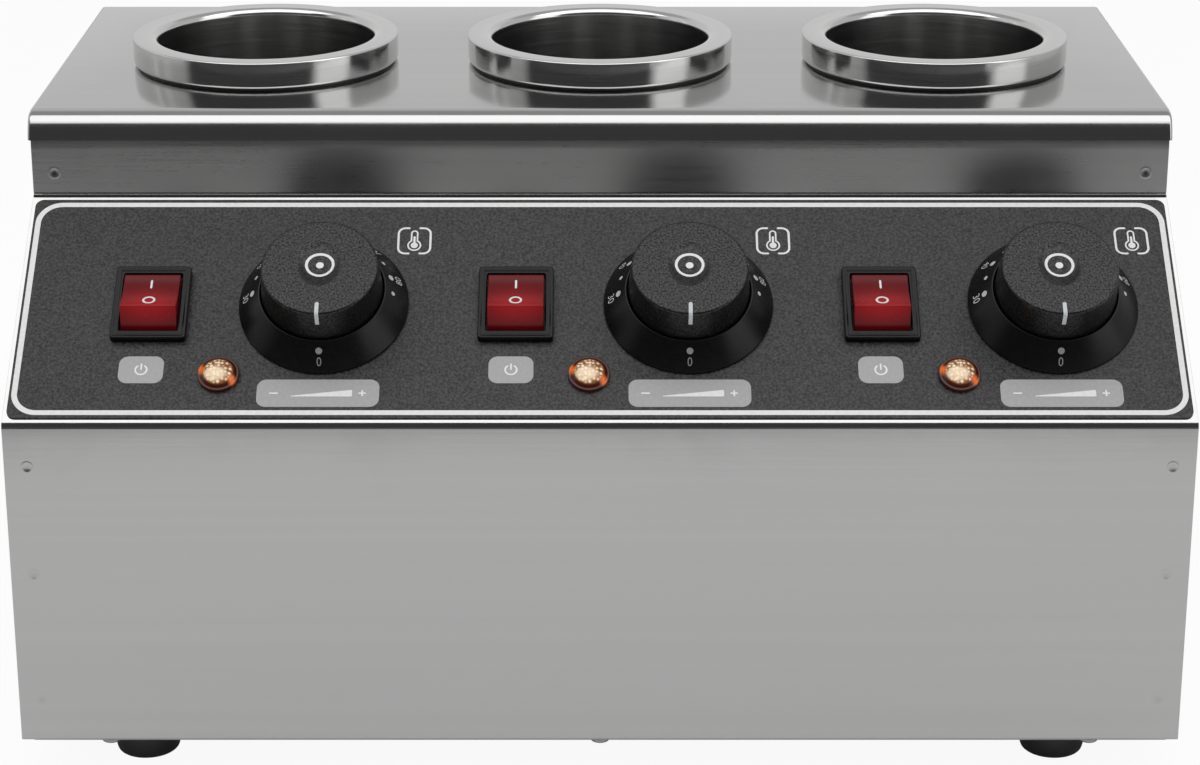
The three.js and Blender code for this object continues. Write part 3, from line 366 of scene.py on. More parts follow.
class Finishes(bpy.types.PropertyGroup):
    sheet_steel: colour("Sheet steel", (0.43, 0.43, 0.427), "Cabinet sheet")
    drawn_steel: colour("Drawn steel", (0.56, 0.56, 0.555), "Drawn wells")
    plated_steel: colour("Plated steel", (0.34, 0.34, 0.33), "Bottom plate, screws and thermostats")
    film: colour("Film", (0.024, 0.024, 0.024), "Control overlay")
    white_print: colour("White print", (0.64, 0.64, 0.635), "Frame line and symbols")
    scale_print: colour("Scale print", (0.46, 0.46, 0.45), "Digits and dots of the dials")
    zero_print: colour("Zero print", (0.2, 0.2, 0.2), "Zero dot and digit of the dials")
    grey_print: colour("Grey print", (0.3, 0.3, 0.3), "Grey plates")
    black_plastic: colour("Black plastic", (0.0022, 0.0022, 0.0025), "Bezels and dial rings")
    knob_plastic: colour("Knob plastic", (0.003, 0.003, 0.003), "Knobs")
    pointer: colour("Pointer", (0.45, 0.47, 0.48), "Pointer lines")
    # The two rocker reds are lit and shaded copies of one plastic: painted light near the ridge,
    # painted shade away from it.
    rocker: colour("Rocker", (0.29, 0.009, 0.012), "Red rockers where the light falls")
    rocker_shaded: colour("Rocker deep", (0.1, 0.002, 0.004), "Red rockers away from the light")
    # Apart from the amber, the lens colours are painted light and shade: painted light in the
    # middle cells, painted shade at the rim and painted glows in it.
    lens_painted_light: colour("Lens cells", (0.95, 0.76, 0.54), "Bright cells in the middle of a lens")
    lens_amber: colour("Lens amber", (0.24, 0.09, 0.026), "Amber between the cells of a lens")
    lens_painted_shade: colour("Lens rim", (0.04, 0.006, 0.002), "Thick dark rim of a lamp's lens")
    lens_painted_glow: colour("Lens glow", (0.75, 0.14, 0.008), "Orange glow in the rim of a lamp's lens")
    rubber: colour("Rubber", (0.012, 0.012, 0.012), "Feet and gaskets")
    ceramic: colour("Ceramic", (0.62, 0.58, 0.5), "Terminal block")
    jacket: colour("Heater jacket", (0.26, 0.25, 0.23), "Band heaters")
    copper: colour("Copper", (0.46, 0.18, 0.08), "Sensor bulbs and capillaries")
    sleeve: colour("Sleeve", (0.7, 0.67, 0.6), "Sleeved wires")


# Outlines: lists of points in a plane
def rounded(path, steps=5, closed=False):
    """A corner given as (x, y, radius) becomes an arc; one given as (x, y) stays sharp."""
    points = []
    last = len(path) - 1
    for index, corner in enumerate(path):
        here = Vector(corner[:2])
        at_end = not closed and index in (0, last)
        if at_end or len(corner) < 3 or corner[2] <= 0:
            points.append(here)
            continue
        before = (Vector(path[index - 1][:2]) - here).normalized()
        after = (Vector(path[(index + 1) % len(path)][:2]) - here).normalized()
        half = before.angle(after) / 2
        centre = here + (before + after).normalized() * (corner[2] / math.sin(half))
        start = here + before * (corner[2] / math.tan(half)) - centre
        end = here + after * (corner[2] / math.tan(half)) - centre
        from_angle = math.atan2(start.y, start.x)
        turn = math.remainder(math.atan2(end.y, end.x) - from_angle, 2 * math.pi)
        points += [centre + polar(corner[2], from_angle + turn * step / steps)
                   for step in range(steps + 1)]
    return points


def polar(radius, direction):
    return Vector((radius * math.cos(direction), radius * math.sin(direction)))


def circle(radius, steps=48, centre=(0, 0)):
    return [Vector(centre) + polar(radius, 2 * math.pi * step / steps) for step in range(steps)]


def rectangle(width, height, corner, steps=5, centre=(0, 0)):
    x, y = width / 2, height / 2
    corners = [(x, -y, corner), (x, y, corner), (-x, y, corner), (-x, -y, corner)]
    points = rounded(corners, steps, True)
    return [Vector(centre) + point for point in points]


def offset(path, distance):
    """Moves an open path square to itself, to the right of its travel, with mitred corners."""
    squares = []
    for here, after in zip(path, path[1:]):
        along = (after - here).normalized()
        squares.append(Vector((along.y, -along.x)))
    moved = []
    for index, point in enumerate(path):
        before = squares[max(index - 1, 0)]
        after = squares[min(index, len(squares) - 1)]
        moved.append(point + (before + after) * (distance / (1 + before.dot(after))))
    return moved


# Meshes
def finished_mesh(name, shape, sharp=32):
    """Turns a bmesh into a smooth-shaded mesh whose edges stay sharp past an angle in degrees."""
    bmesh.ops.remove_doubles(shape, verts=shape.verts, dist=0.001 * MM)
    bmesh.ops.recalc_face_normals(shape, faces=shape.faces)
    mesh = bpy.data.meshes.new(name)
    shape.to_mesh(mesh)
    shape.free()
    mesh.shade_smooth()
    mesh.set_sharp_from_angle(angle=math.radians(sharp))
    return mesh


def add_ring(shape, points):
    return [shape.verts.new(point) for point in points]


def join_rings(shape, lower, upper):
    """Skins two rings of points; a ring of one point closes as a fan."""
    count = max(len(lower), len(upper))
    for index in range(count):
        after = (index + 1) % count
        corners = (
            lower[index % len(lower)],
            lower[after % len(lower)],
            upper[after % len(upper)],
            upper[index % len(upper)],
        )
        shape.faces.new(tuple(dict.fromkeys(corners)))


def turned(name, profile, steps=96, sharp=32):
    """Turned mesh from points of radius and height, closed on the axis or on itself."""
    shape = bmesh.new()
    rings = []
    for radius, height in profile:
        if radius < 0.001 * MM:
            rings.append(add_ring(shape, [(0, 0, height)]))
        else:
            rings.append(add_ring(shape, [(*point, height) for point in circle(radius, steps)]))
    pairs = list(zip(rings, rings[1:]))
    if len(rings[0]) > 1 and len(rings[-1]) > 1:
        pairs.append((rings[-1], rings[0]))
    for lower, upper in pairs:
        join_rings(shape, lower, upper)
    return finished_mesh(name, shape, sharp)


def stacked(name, rings, sharp=32):
    """Closed mesh skinned over a stack of equal outlines, each given with its height."""
    shape = bmesh.new()
    made = [add_ring(shape, [(*point, height) for point in outline]) for outline, height in rings]
    for lower, upper in zip(made, made[1:]):
        join_rings(shape, lower, upper)
    shape.faces.new(made[0])
    shape.faces.new(made[-1])
    return finished_mesh(name, shape, sharp)


def drawn_across(shape, section, half):
    """Adds a solid with a section in Y and Z, drawn out along X to both sides of the middle."""
    left = add_ring(shape, [(-half, *point) for point in section])
    right = add_ring(shape, [(half, *point) for point in section])
    join_rings(shape, left, right)
    shape.faces.new(left)
    shape.faces.new(right)


def bent_sheet(shape, path, wall, half):
    """Adds a bent sheet whose outer face follows a path in Y and Z."""
    drawn_across(shape, path + offset(path, wall)[::-1], half)


def flat_mesh(name, loops, thickness, edge=0.0):
    """Flat plate with its foot at Z 0 from an outline and any holes, with its edges rounded."""
    curve = bpy.data.curves.new(name, "CURVE")
    curve.dimensions = "2D"
    curve.fill_mode = "BOTH"
    curve.extrude = thickness / 2 - edge
    curve.bevel_depth = edge
    curve.bevel_resolution = 1
    curve.offset = -edge
    for loop in loops:
        spline = curve.splines.new("POLY")
        spline.points.add(len(loop) - 1)
        for point, place in zip(spline.points, loop):
            point.co = (place[0], place[1], 0, 1)
        spline.use_cyclic_u = True
    mesh = mesh_of_curve(curve)
    mesh.transform(Matrix.Translation((0, 0, thickness / 2)))
    return mesh


def link(item):
    """Puts a new object in the scene."""
    bpy.context.scene.collection.objects.link(item)


def evaluated_mesh(item):
    """Mesh of an object as its modifiers or its curve make it."""
    ready = item.evaluated_get(bpy.context.evaluated_depsgraph_get())
    return bpy.data.meshes.new_from_object(ready)


def mesh_of_curve(curve):
    """The curve's filled surface as a mesh of its own; the curve is deleted."""
    holder = bpy.data.objects.new(curve.name, curve)
    link(holder)
    bpy.context.view_layer.update()
    mesh = evaluated_mesh(holder)
    mesh.name = curve.name
    mesh.materials.clear()
    bpy.data.objects.remove(holder)
    bpy.data.curves.remove(curve)
    shape = bmesh.new()
    shape.from_mesh(mesh)
    bpy.data.meshes.remove(mesh)
    return finished_mesh("plate", shape)


def joined(name, parts):
    """One mesh from several, each given with its matrix."""
    shape = bmesh.new()
    for mesh, place in parts:
        moved = mesh.copy()
        moved.transform(place)
        shape.from_mesh(moved)
        bpy.data.meshes.remove(moved)
    return finished_mesh(name, shape)


def add_piece(name, mesh, place, look, replaces=(), body="housing"):
    """Puts a finished mesh in its place, on its body and with its finish."""
    mesh.name = name
    mesh.materials.clear()
    mesh.materials.append(finish(look))
    piece = bpy.data.objects.new(name, mesh)
    link(piece)
    piece.matrix_world = place
    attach(piece, body)
    if replaces:
        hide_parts(*replaces)
    return piece


def soften(piece, width, segments=2, degrees=40):
    """Rounds the piece's sharp edges a little."""
    bevel = piece.modifiers.new("Soft edges", "BEVEL")
    bevel.width = width
    bevel.segments = segments
    bevel.limit_method = "ANGLE"
    bevel.angle_limit = math.radians(degrees)
    bevel.harden_normals = True


def keep_flat(piece):
    """Lets the large flat faces of a sheet set the shading at their bends."""
    weigh = piece.modifiers.new("flat_faces", "WEIGHTED_NORMAL")
    weigh.keep_sharp = True


def cut_by(piece, cutter_mesh):
    """Cuts a mesh of closed cutters, in the piece's own space, out of the piece."""
    cutter = bpy.data.objects.new("cutter", cutter_mesh)
    link(cutter)
    cutter.matrix_world = piece.matrix_world
    boolean = piece.modifiers.new("Cut", "BOOLEAN")
    boolean.operation = "DIFFERENCE"
    boolean.solver = "EXACT"
    boolean.object = cutter
    bpy.context.view_layer.update()
    result = evaluated_mesh(piece)
    piece.modifiers.clear()
    old = piece.data
    piece.data = result
    result.name = piece.name
    bpy.data.objects.remove(cutter)
    bpy.data.meshes.remove(cutter_mesh)
    bpy.data.meshes.remove(old)
    result.shade_smooth()
    result.set_sharp_from_angle(angle=math.radians(32))


# Shader nodes
def add_node(tree, kind, inputs=None, **settings):
    """A new node; its inputs are given by name or number, each as a socket or a value."""
    made = tree.nodes.new(f"ShaderNode{kind}")
    for name, value in settings.items():
        setattr(made, name, value)
    for name, value in (inputs or {}).items():
        feed(tree, value, made.inputs[name])
    return made


def add_math(tree, operation, first, second):
    """A math node; each side is a socket or a number."""
    made = add_node(tree, "Math", operation=operation)
    for socket, value in zip(made.inputs, (first, second)):
        feed(tree, value, socket)
    return made


def feed(tree, value, socket):
    """Links a node's first output or a socket to another socket, or sets its value."""
    if isinstance(value, bpy.types.Node):
        value = value.outputs[0]
    if isinstance(value, bpy.types.NodeSocket):
        tree.links.new(value, socket)
    else:
        socket.default_value = value


def own_place(tree):
    """Place of a point in the piece's own space."""
    return add_node(tree, "TexCoord").outputs["Object"]


def new_group(name, inputs, outputs):
    """Shader node group with named number or vector inputs and number outputs."""
    tree = bpy.data.node_groups.new(name, "ShaderNodeTree")
    for label, kind, default in inputs:
        tree.interface.new_socket(label, in_out="INPUT", socket_type=kind).default_value = default
    for label in outputs:
        tree.interface.new_socket(label, in_out="OUTPUT", socket_type="NodeSocketFloat")
    return tree, tree.nodes.new("NodeGroupInput").outputs, tree.nodes.new("NodeGroupOutput").inputs


def use_group(tree, name, **inputs):
    made = add_node(tree, "Group", node_tree=bpy.data.node_groups[name])
    for label, value in inputs.items():
        made.inputs[label.replace("_", " ").capitalize()].default_value = value
    return made.outputs


def full_range(tree, noise):
    """Stretches a noise so that it runs from 0 to 1."""
    return add_node(tree, "MapRange", {
        "From Min": 0.3, "From Max": 0.7, "Value": noise.outputs["Fac"],
    })


def build_grain_group():
    """Rolled or brushed grain: fine streaks, long where the stretch is small."""
    tree, given, out = new_group(
        "Rolled grain",
        [("Stretch", "NodeSocketVector", (20.0, 900.0, 900.0)), ("Detail", "NodeSocketFloat", 3.0)],
        ["Streaks", "Broad"],
    )
    scaled = add_node(
        tree, "VectorMath", {0: own_place(tree), 1: given["Stretch"]}, operation="MULTIPLY")
    fine = add_node(tree, "TexNoise", {
        "Scale": 1.0, "Roughness": 0.6, "Vector": scaled, "Detail": given["Detail"],
    })
    broad = add_node(tree, "TexNoise", {"Scale": 0.13, "Detail": 2.0, "Vector": scaled})
    feed(tree, full_range(tree, fine), out["Streaks"])
    feed(tree, full_range(tree, broad), out["Broad"])


def build_turned_group():
    """Turned grain: fine rings round the Z axis of a piece."""
    tree, given, out = new_group(
        "Turned grain",
        [("Pitch", "NodeSocketFloat", 1600.0), ("Around", "NodeSocketFloat", 1.2)],
        ["Rings", "Broad"],
    )
    x, y, z = add_node(tree, "SeparateXYZ", {0: own_place(tree)}).outputs
    radius = add_math(tree, "SQRT", add_math(
        tree, "ADD", add_math(tree, "MULTIPLY", x, x), add_math(tree, "MULTIPLY", y, y)), 0.0)
    cosine = add_math(tree, "DIVIDE", x, add_math(tree, "MAXIMUM", radius, 0.001))
    sine = add_math(tree, "DIVIDE", y, add_math(tree, "MAXIMUM", radius, 0.001))
    spread = add_node(tree, "CombineXYZ", {
        0: add_math(tree, "MULTIPLY", cosine, given["Around"]),
        1: add_math(tree, "MULTIPLY", sine, given["Around"]),
        2: add_math(tree, "MULTIPLY", add_math(tree, "SUBTRACT", z, radius), given["Pitch"]),
    })
    fine = add_node(tree, "TexNoise", {
        "Vector": spread, "Scale": 1.0, "Detail": 3.0, "Roughness": 0.6,
    })
    broad = add_node(tree, "TexNoise", {"Vector": spread, "Scale": 0.11, "Detail": 2.0})
    feed(tree, full_range(tree, fine), out["Rings"])
    feed(tree, full_range(tree, broad), out["Broad"])


def build_handling_group():
    """Handling marks: soft patches left by hands and cloths."""
    tree, given, out = new_group("Handling marks", [("Size", "NodeSocketFloat", 18.0)], ["Patches"])
    place = own_place(tree)
    noise = add_node(tree, "TexNoise", {
        "Detail": 5.0, "Roughness": 0.62, "Distortion": 0.6, "Vector": place,
        "Scale": given["Size"],
    })
    ramp = add_node(tree, "MapRange", {
        "From Min": 0.38, "From Max": 0.72, "Value": noise.outputs["Fac"],
    }, interpolation_type="SMOOTHSTEP")
    feed(tree, ramp, out["Patches"])


def build_speckle_group():
    """Moulded or screened texture: an even field of small bumps."""
    tree, given, out = new_group(
        "Moulded texture", [("Scale", "NodeSocketFloat", 2200.0)], ["Bumps", "Tone"])
    place = own_place(tree)
    fine = add_node(tree, "TexNoise", {
        "Detail": 2.0, "Roughness": 0.5, "Vector": place, "Scale": given["Scale"],
    })
    coarse = add_node(tree, "TexNoise", {
        "Detail": 3.0, "Roughness": 0.6, "Vector": place,
        "Scale": add_math(tree, "MULTIPLY", given["Scale"], 0.3),
    })
    feed(tree, full_range(tree, fine), out["Bumps"])
    feed(tree, full_range(tree, coarse), out["Tone"])


def new_material(name, **values):
    """Node tree and shader sockets of a new material; the values are set on those sockets."""
    material = bpy.data.materials.new(name.replace("_", " "))
    material.use_nodes = True
    sockets = material.node_tree.nodes["Principled BSDF"].inputs
    for label, value in values.items():
        sockets[label.replace("_", " ")].default_value = value
    return material.node_tree, sockets


def laid_over(tree, mask, below, above):
    """One colour laid over another by a mask; each is a socket or a colour."""
    mix = add_node(tree, "Mix", {"Factor": mask, "A": below, "B": above}, data_type="RGBA")
    return mix.outputs["Result"]


def tinted(tree, base, mask, low_share, high_share, socket):
    """Feeds a colour that runs from a darker to a lighter share of the base with the mask."""
    dark = (*[value * low_share for value in base], 1)
    pale = (*[min(value * high_share, 1) for value in base], 1)
    feed(tree, laid_over(tree, mask, dark, pale), socket)


def ranged(tree, mask, low_value, high_value, socket):
    """Feeds a number that runs between two values with the mask."""
    ramp = add_node(tree, "MapRange", {"Value": mask, "To Min": low_value, "To Max": high_value})
    feed(tree, ramp, socket)


def bumped(tree, height, strength, distance, socket):
    """Feeds a normal that a height bends."""
    bump = add_node(tree, "Bump", {"Strength": strength, "Distance": distance, "Height": height})
    feed(tree, bump, socket)


# Stretch of a grain that runs along X or along Y
ALONG_X = (14.0, 1500.0, 1500.0)
ALONG_Y = (1500.0, 14.0, 1500.0)


def sheet_steel(name, base, stretch, roughness):
    """Rolled stainless sheet: a faint grain and soft handling marks."""
    tree, sockets = new_material(name, Metallic=1.0)
    grain = use_group(tree, "Rolled grain", stretch=stretch)
    marks = use_group(tree, "Handling marks")
    tinted(tree, base, grain["Broad"], 0.985, 1.015, sockets["Base Color"])
    blend = add_math(tree, "ADD", add_math(tree, "MULTIPLY", marks["Patches"], 0.5),
                     add_math(tree, "MULTIPLY", grain["Streaks"], 0.5))
    ranged(tree, blend, roughness * 0.8, roughness * 1.25, sockets["Roughness"])
    bumped(tree, grain["Streaks"], 0.12, 0.004 * MM, sockets["Normal"])


def turned_steel(name, base, roughness):
    """Drawn and turned stainless: fine rings round the well."""
    tree, sockets = new_material(
        name, Metallic=1.0, Anisotropic=0.6, Anisotropic_Rotation=0.25)
    grain = use_group(tree, "Turned grain")
    tinted(tree, base, grain["Broad"], 0.94, 1.06, sockets["Base Color"])
    ranged(tree, grain["Rings"], roughness * 0.75, roughness * 1.3, sockets["Roughness"])
    bumped(tree, grain["Rings"], 0.3, 0.01 * MM, sockets["Normal"])


def moulded(name, base, roughness, texture=2200.0, depth=0.01 * MM, strength=0.4, speckle=0.06,
            glints=0.0, **values):
    """Moulded plastic, rubber, film or ink: a fine even texture with a little change of tone."""
    tree, sockets = new_material(name, **values)
    bumps = use_group(tree, "Moulded texture", scale=texture)
    mask = bumps["Bumps"] if speckle > 0.1 else bumps["Tone"]
    tinted(tree, base, mask, 1 - speckle, 1 + speckle, sockets["Base Color"])
    ranged(tree, bumps["Tone"], roughness * 0.9, roughness * 1.1, sockets["Roughness"])
    bumped(tree, bumps["Bumps"], strength, depth, sockets["Normal"])
    if glints:
        ranged(tree, bumps["Bumps"], 0.0, glints, sockets["Coat Weight"])


def dimpled_steel(name, base, roughness, radius, shade):
    """Sheet with one round dimple pressed in the middle of the piece, darkened towards its middle
    by painted shade.
    """
    tree, sockets = new_material(name, Metallic=1.0)
    grain = use_group(tree, "Rolled grain", stretch=ALONG_X)
    bowl = falling(tree, (0, 0, 0), (1 / radius, 1 / radius, 0), 0.95, 0.0)
    # Painted shade: the base colour darkens towards the dimple's middle by the share given as
    # shade.
    tinted(tree, base, bowl, 1.0, shade, sockets["Base Color"])
    ranged(tree, grain["Streaks"], roughness, roughness * 1.4, sockets["Roughness"])
    bumped(tree, add_math(tree, "MULTIPLY", bowl, -1.0), 1.0, 0.11 * MM, sockets["Normal"])


def falling(tree, centre, scale, far, near):
    """Mask that runs from 0 at a far distance to 1 at a near one from a point of the piece."""
    away = add_node(tree, "VectorMath", {0: own_place(tree), 1: centre}, operation="SUBTRACT")
    scaled = add_node(tree, "VectorMath", {0: away, 1: scale}, operation="MULTIPLY")
    reach = add_node(tree, "VectorMath", {0: scaled}, operation="LENGTH")
    return add_node(tree, "MapRange", {
        "From Min": far, "From Max": near, "Value": reach.outputs["Value"],
    }, interpolation_type="SMOOTHSTEP")


def rocker_plastic(name, looks, sizes):
    """Red plastic with painted light round its ridge and painted shade away from it."""
    tree, sockets = new_material(name, Specular_IOR_Level=0.2)
    ridge = (0, -sizes.face_half, sizes.face_height)
    # Painted light and shade: the lit red near the ridge fades into the shaded red further off.
    lit = falling(tree, ridge, (55.0, 75.0, 110.0), 1.0, 0.1)
    red = laid_over(tree, lit, (*looks.rocker_shaded, 1), (*looks.rocker, 1))
    feed(tree, red, sockets["Base Color"])
    bumps = use_group(tree, "Moulded texture")
    ranged(tree, bumps["Tone"], 0.22, 0.28, sockets["Roughness"])
    bumped(tree, bumps["Bumps"], 0.04, 0.01 * MM, sockets["Normal"])


def lamp_lens(name, looks, cell, radius):
    """Amber lens with painted light and shade: painted light in the middle cells, a painted
    highlight, painted shade at the rim with painted orange glows in it, and a clear gloss.
    """
    tree, sockets = new_material(
        name, Specular_IOR_Level=0.12, Coat_Weight=0.4, Coat_Roughness=0.04)

    def oval_mask(x, y, across, up, far, near):
        """Mask round a place in the lens; all of it is measured in radii of the lens."""
        spot_at = (x * radius, y * radius, 0)
        return falling(tree, spot_at, (across / radius, up / radius, 0), far, near)

    level = add_node(tree, "VectorMath", {0: own_place(tree), 1: (1, 1, 0)}, operation="MULTIPLY")
    facets = add_node(tree, "TexVoronoi", {"Scale": 1 / cell, "Randomness": 0.55, "Vector": level})
    cells = add_node(tree, "MapRange", {
        "From Min": 0.62, "From Max": 0.2, "Value": facets.outputs["Distance"],
    }, interpolation_type="SMOOTHSTEP")
    inside = oval_mask(0, 0, 1, 1, 0.76, 0.62)
    # A painted highlight low and left of the lens's middle.
    painted_highlight = add_math(tree, "MULTIPLY", oval_mask(-0.14, -0.22, 1.45, 2.1, 1.0, 0.55), 0.7)
    tone = (*looks.lens_amber, 1)
    # Painted light and shade laid over the amber: lit cells, the painted highlight, a shaded rim
    # and two painted glows at the left and lower right.
    for mask, over in (
        (add_math(tree, "MULTIPLY", inside, cells), looks.lens_painted_light),
        (add_math(tree, "MULTIPLY", inside, painted_highlight), looks.lens_painted_light),
        (add_math(tree, "SUBTRACT", 1.0, oval_mask(0, 0, 1, 1, 0.79, 0.64)), looks.lens_painted_shade),
        (oval_mask(-0.8, 0.16, 4.4, 2.4, 1.0, 0.1), looks.lens_painted_glow),
        (oval_mask(0.68, -0.44, 3.8, 2.6, 1.0, 0.1), looks.lens_painted_glow),
    ):
        tone = laid_over(tree, mask, tone, (*over, 1))
    feed(tree, tone, sockets["Base Color"])
    ranged(tree, cells, 0.3, 0.18, sockets["Roughness"])
    bumped(tree, add_math(tree, "MULTIPLY", cells, inside), 0.6, 0.3 * MM, sockets["Normal"])


def build_materials():
    """All finishes by the names that the operators use."""
    for build in (build_grain_group, build_turned_group, build_handling_group, build_speckle_group):
        build()
    looks = bpy.context.scene.warmer_finishes
    sheet_steel("sheet_steel", looks.sheet_steel, ALONG_X, roughness=0.13)
    sheet_steel("fascia_steel", looks.sheet_steel, ALONG_X, roughness=0.31)
    sheet_steel("side_steel", looks.sheet_steel, ALONG_Y, roughness=0.13)
    sheet_steel("plated_steel", looks.plated_steel, (300.0, 300.0, 300.0), roughness=0.34)
    turned_steel("drawn_steel", looks.drawn_steel, roughness=0.14)
    weld = bpy.context.scene.warmer_cabinet.weld_radius
    # The dimples' darkening is painted shade, slight on the front and strong on the fascia.
    dimpled_steel("weld_dimple", looks.sheet_steel, roughness=0.16, radius=weld, shade=0.92)
    dimpled_steel("fascia_dimple", looks.sheet_steel, roughness=0.25, radius=weld, shade=0.12)
    moulded("film", looks.film, 0.5, texture=1150.0, depth=0.07 * MM, strength=1.0, speckle=0.95,
            Specular_IOR_Level=0.36)
    for name in ("white_print", "scale_print", "zero_print", "grey_print"):
        moulded(name, getattr(looks, name), roughness=0.45)
    moulded("black_plastic", looks.black_plastic, 0.28, texture=1500.0, strength=0.15,
            Specular_IOR_Level=0.22)
    moulded("knob_plastic", looks.knob_plastic, 0.36, texture=1500.0, depth=0.1 * MM, strength=1.0,
            speckle=0.9, glints=0.85, Specular_IOR_Level=0.16, Coat_Roughness=0.26)
    moulded("pointer", looks.pointer, roughness=0.4)
    rocker_plastic("rocker_red", looks, bpy.context.scene.warmer_switch)
    lamps = bpy.context.scene.warmer_lamp
    lamp_lens("amber", looks, lamps.cell, half_width("centre_lamp_lens"))
    moulded("rubber", looks.rubber, 0.45, texture=1600.0, strength=0.3)
    moulded("ceramic", looks.ceramic, roughness=0.6)
    sheet_steel("heater_jacket", looks.jacket, (200.0, 200.0, 900.0), roughness=0.4)
    sheet_steel("copper_bulb", looks.copper, (600.0, 600.0, 80.0), roughness=0.35)
    moulded("sleeve", looks.sleeve, 0.8, texture=3000.0)


def finish(name):
    """Finish by its name; its spaces keep it apart from the frame's own materials."""
    return bpy.data.materials[name.replace("_", " ")]


def dress_node(node, material):
    """Gives a carried-over node its finish."""
    piece = frame["nodes"][node]
    if not piece.data.materials:
        piece.data.materials.append(None)
    for slot in piece.material_slots:
        slot.material = finish(material)


# Cabinet
def bullnose_path(sizes):
    """Outline of the deck's front bend, from its foot up: slack, tight, then slack again."""
    low_end = sizes.bullnose_lean + sizes.bullnose_low_turn
    lead_start = RIGHT_ANGLE - sizes.bullnose_lead_turn
    arcs = [
        (sizes.bullnose_low, sizes.bullnose_lean, low_end, 8),
        (sizes.bullnose, low_end, lead_start, 12),
        (sizes.bullnose_lead, lead_start, RIGHT_ANGLE, 4),
    ]
    points = [Vector((0, 0))]
    for radius, start, end, steps in arcs:
        for step in range(steps):
            tilt = start + (end - start) * (step + 0.5) / steps
            along = radius * (end - start) / steps
            points.append(points[-1] + Vector((math.sin(tilt), math.cos(tilt))) * along)
    shift = Vector((FASCIA, DECK_TOP - points[-1].y))
    return [point + shift for point in points]


def rounded_ends(half, radius, wall, steps=5):
    """Places along X, from end to end, and insets of a sheet whose ends are rounded."""
    levels = []
    for step in range(steps + 1):
        turn = RIGHT_ANGLE * step / steps
        reach = half - radius + (radius - wall) * math.sin(turn)
        levels.append((reach, wall + (radius - wall) * (1 - math.cos(turn))))
    return [(-reach, inset) for reach, inset in levels[::-1]] + levels


def deck_sheet(sizes):
    """Deck with its bullnose and skirts, and a hole for each well."""
    half = half_width("top_deck")
    skirt = DECK_TOP - sizes.skirt_drop
    rear = high("top_deck").y
    nose = bullnose_path(sizes)
    path = nose + rounded([
        nose[-1],
        (rear, DECK_TOP, sizes.bend),
        (rear, skirt),
    ], steps=6)[1:]
    shape = bmesh.new()
    skins = []
    for wall in (0, sizes.sheet):
        rings = []
        for across, inset in rounded_ends(half, sizes.bend, wall):
            rings.append(add_ring(shape, [(across, *point) for point in offset(path, inset)]))
        for left, right in zip(rings, rings[1:]):
            for index in range(len(path) - 1):
                shape.faces.new((left[index], left[index + 1], right[index + 1], right[index]))
        shape.faces.new(rings[0])
        shape.faces.new(rings[-1])
        skins.append(rings)
    outer_rim, inner_rim = (
        [ring[0] for ring in rings] + [ring[-1] for ring in rings[::-1]] for rings in skins)
    join_rings(shape, outer_rim, inner_rim)
    deck = add_piece("deck_sheet", finished_mesh("deck", shape), Matrix(),
                     "sheet_steel", ["top_deck"])
    hole = bpy.context.scene.warmer_wells.deck_hole
    reach = 5 * MM
    cutter = turned("holes", [(0, -reach), (hole, -reach), (hole, reach), (0, reach)])
    places = [Matrix.Translation((*middle(f"{side}_well").xy, DECK_TOP)) for side in SIDES]
    cut_by(deck, joined("holes", [(cutter, place) for place in places]))


def fascia_sheet(sizes):
    """Fascia that leans in under the bullnose, and a black strip at its foot that is painted shade
    for the gap there.
    """
    plane = FASCIA + sizes.fascia_back
    curl = bullnose_path(sizes)[0].y - sizes.fascia_curl_drop
    path = [Vector((plane, low("top_deck").z + sizes.foot_gap))]
    steps = 8
    for step in range(steps + 1):
        lean = sizes.fascia_curl_turn * step / steps
        back = sizes.fascia_curl * (1 - math.cos(lean))
        path.append(Vector((plane + back, curl + sizes.fascia_curl * math.sin(lean))))
    shape = bmesh.new()
    bent_sheet(shape, path, sizes.sheet, BODY_HALF)
    fascia = add_piece("fascia_sheet", finished_mesh("fascia", shape), Matrix(),
                       "fascia_steel")
    soften(fascia, sizes.cut_edge)
    keep_flat(fascia)
    # Painted shade: a black strip along the fascia's foot stands in for the shadow in the gap.
    outline = rectangle(2 * (BODY_HALF - sizes.cut_edge), sizes.shade_strip_width, 0.3 * MM)
    seal = flat_mesh("seal", [outline], sizes.shade_strip_wall, sizes.cut_edge)
    place = on_panel(0, SLOPE_LENGTH - sizes.shade_strip_drop)
    add_piece("fascia_seal", seal, place, "black_plastic")


def front_sheet(sizes):
    """Front shell: upright face, slope, a flange under the body and a lip behind the fascia."""
    slope = PANEL_UP.z / PANEL_UP.y
    fold = crease()
    lip_y = FASCIA + sizes.lap + sizes.fascia_back
    lip_z = fold.z + (lip_y - FRONT) * slope
    turn = 2 * sizes.bend
    shape = bmesh.new()
    bent_sheet(shape, rounded([
        (FRONT + turn, BASE),
        (FRONT, BASE, sizes.bend),
        (FRONT, fold.z, sizes.crease),
        (lip_y, lip_z, sizes.bend),
        (lip_y, lip_z + turn),
    ], steps=8), sizes.sheet, BODY_HALF)
    inner = BODY_HALF - sizes.tray_flange - sizes.tray_gap
    flange = [Vector((FRONT + sizes.flange, BASE)), Vector((FRONT + turn, BASE))]
    lip = [Vector((lip_y, lip_z + turn)), Vector((lip_y, lip_z + sizes.lip))]
    for path in (flange, lip):
        bent_sheet(shape, path, sizes.sheet, inner)
    front = add_piece("front_sheet", finished_mesh("front", shape), Matrix(),
                      "sheet_steel", ["front_shell"])
    soften(front, sizes.cut_edge)


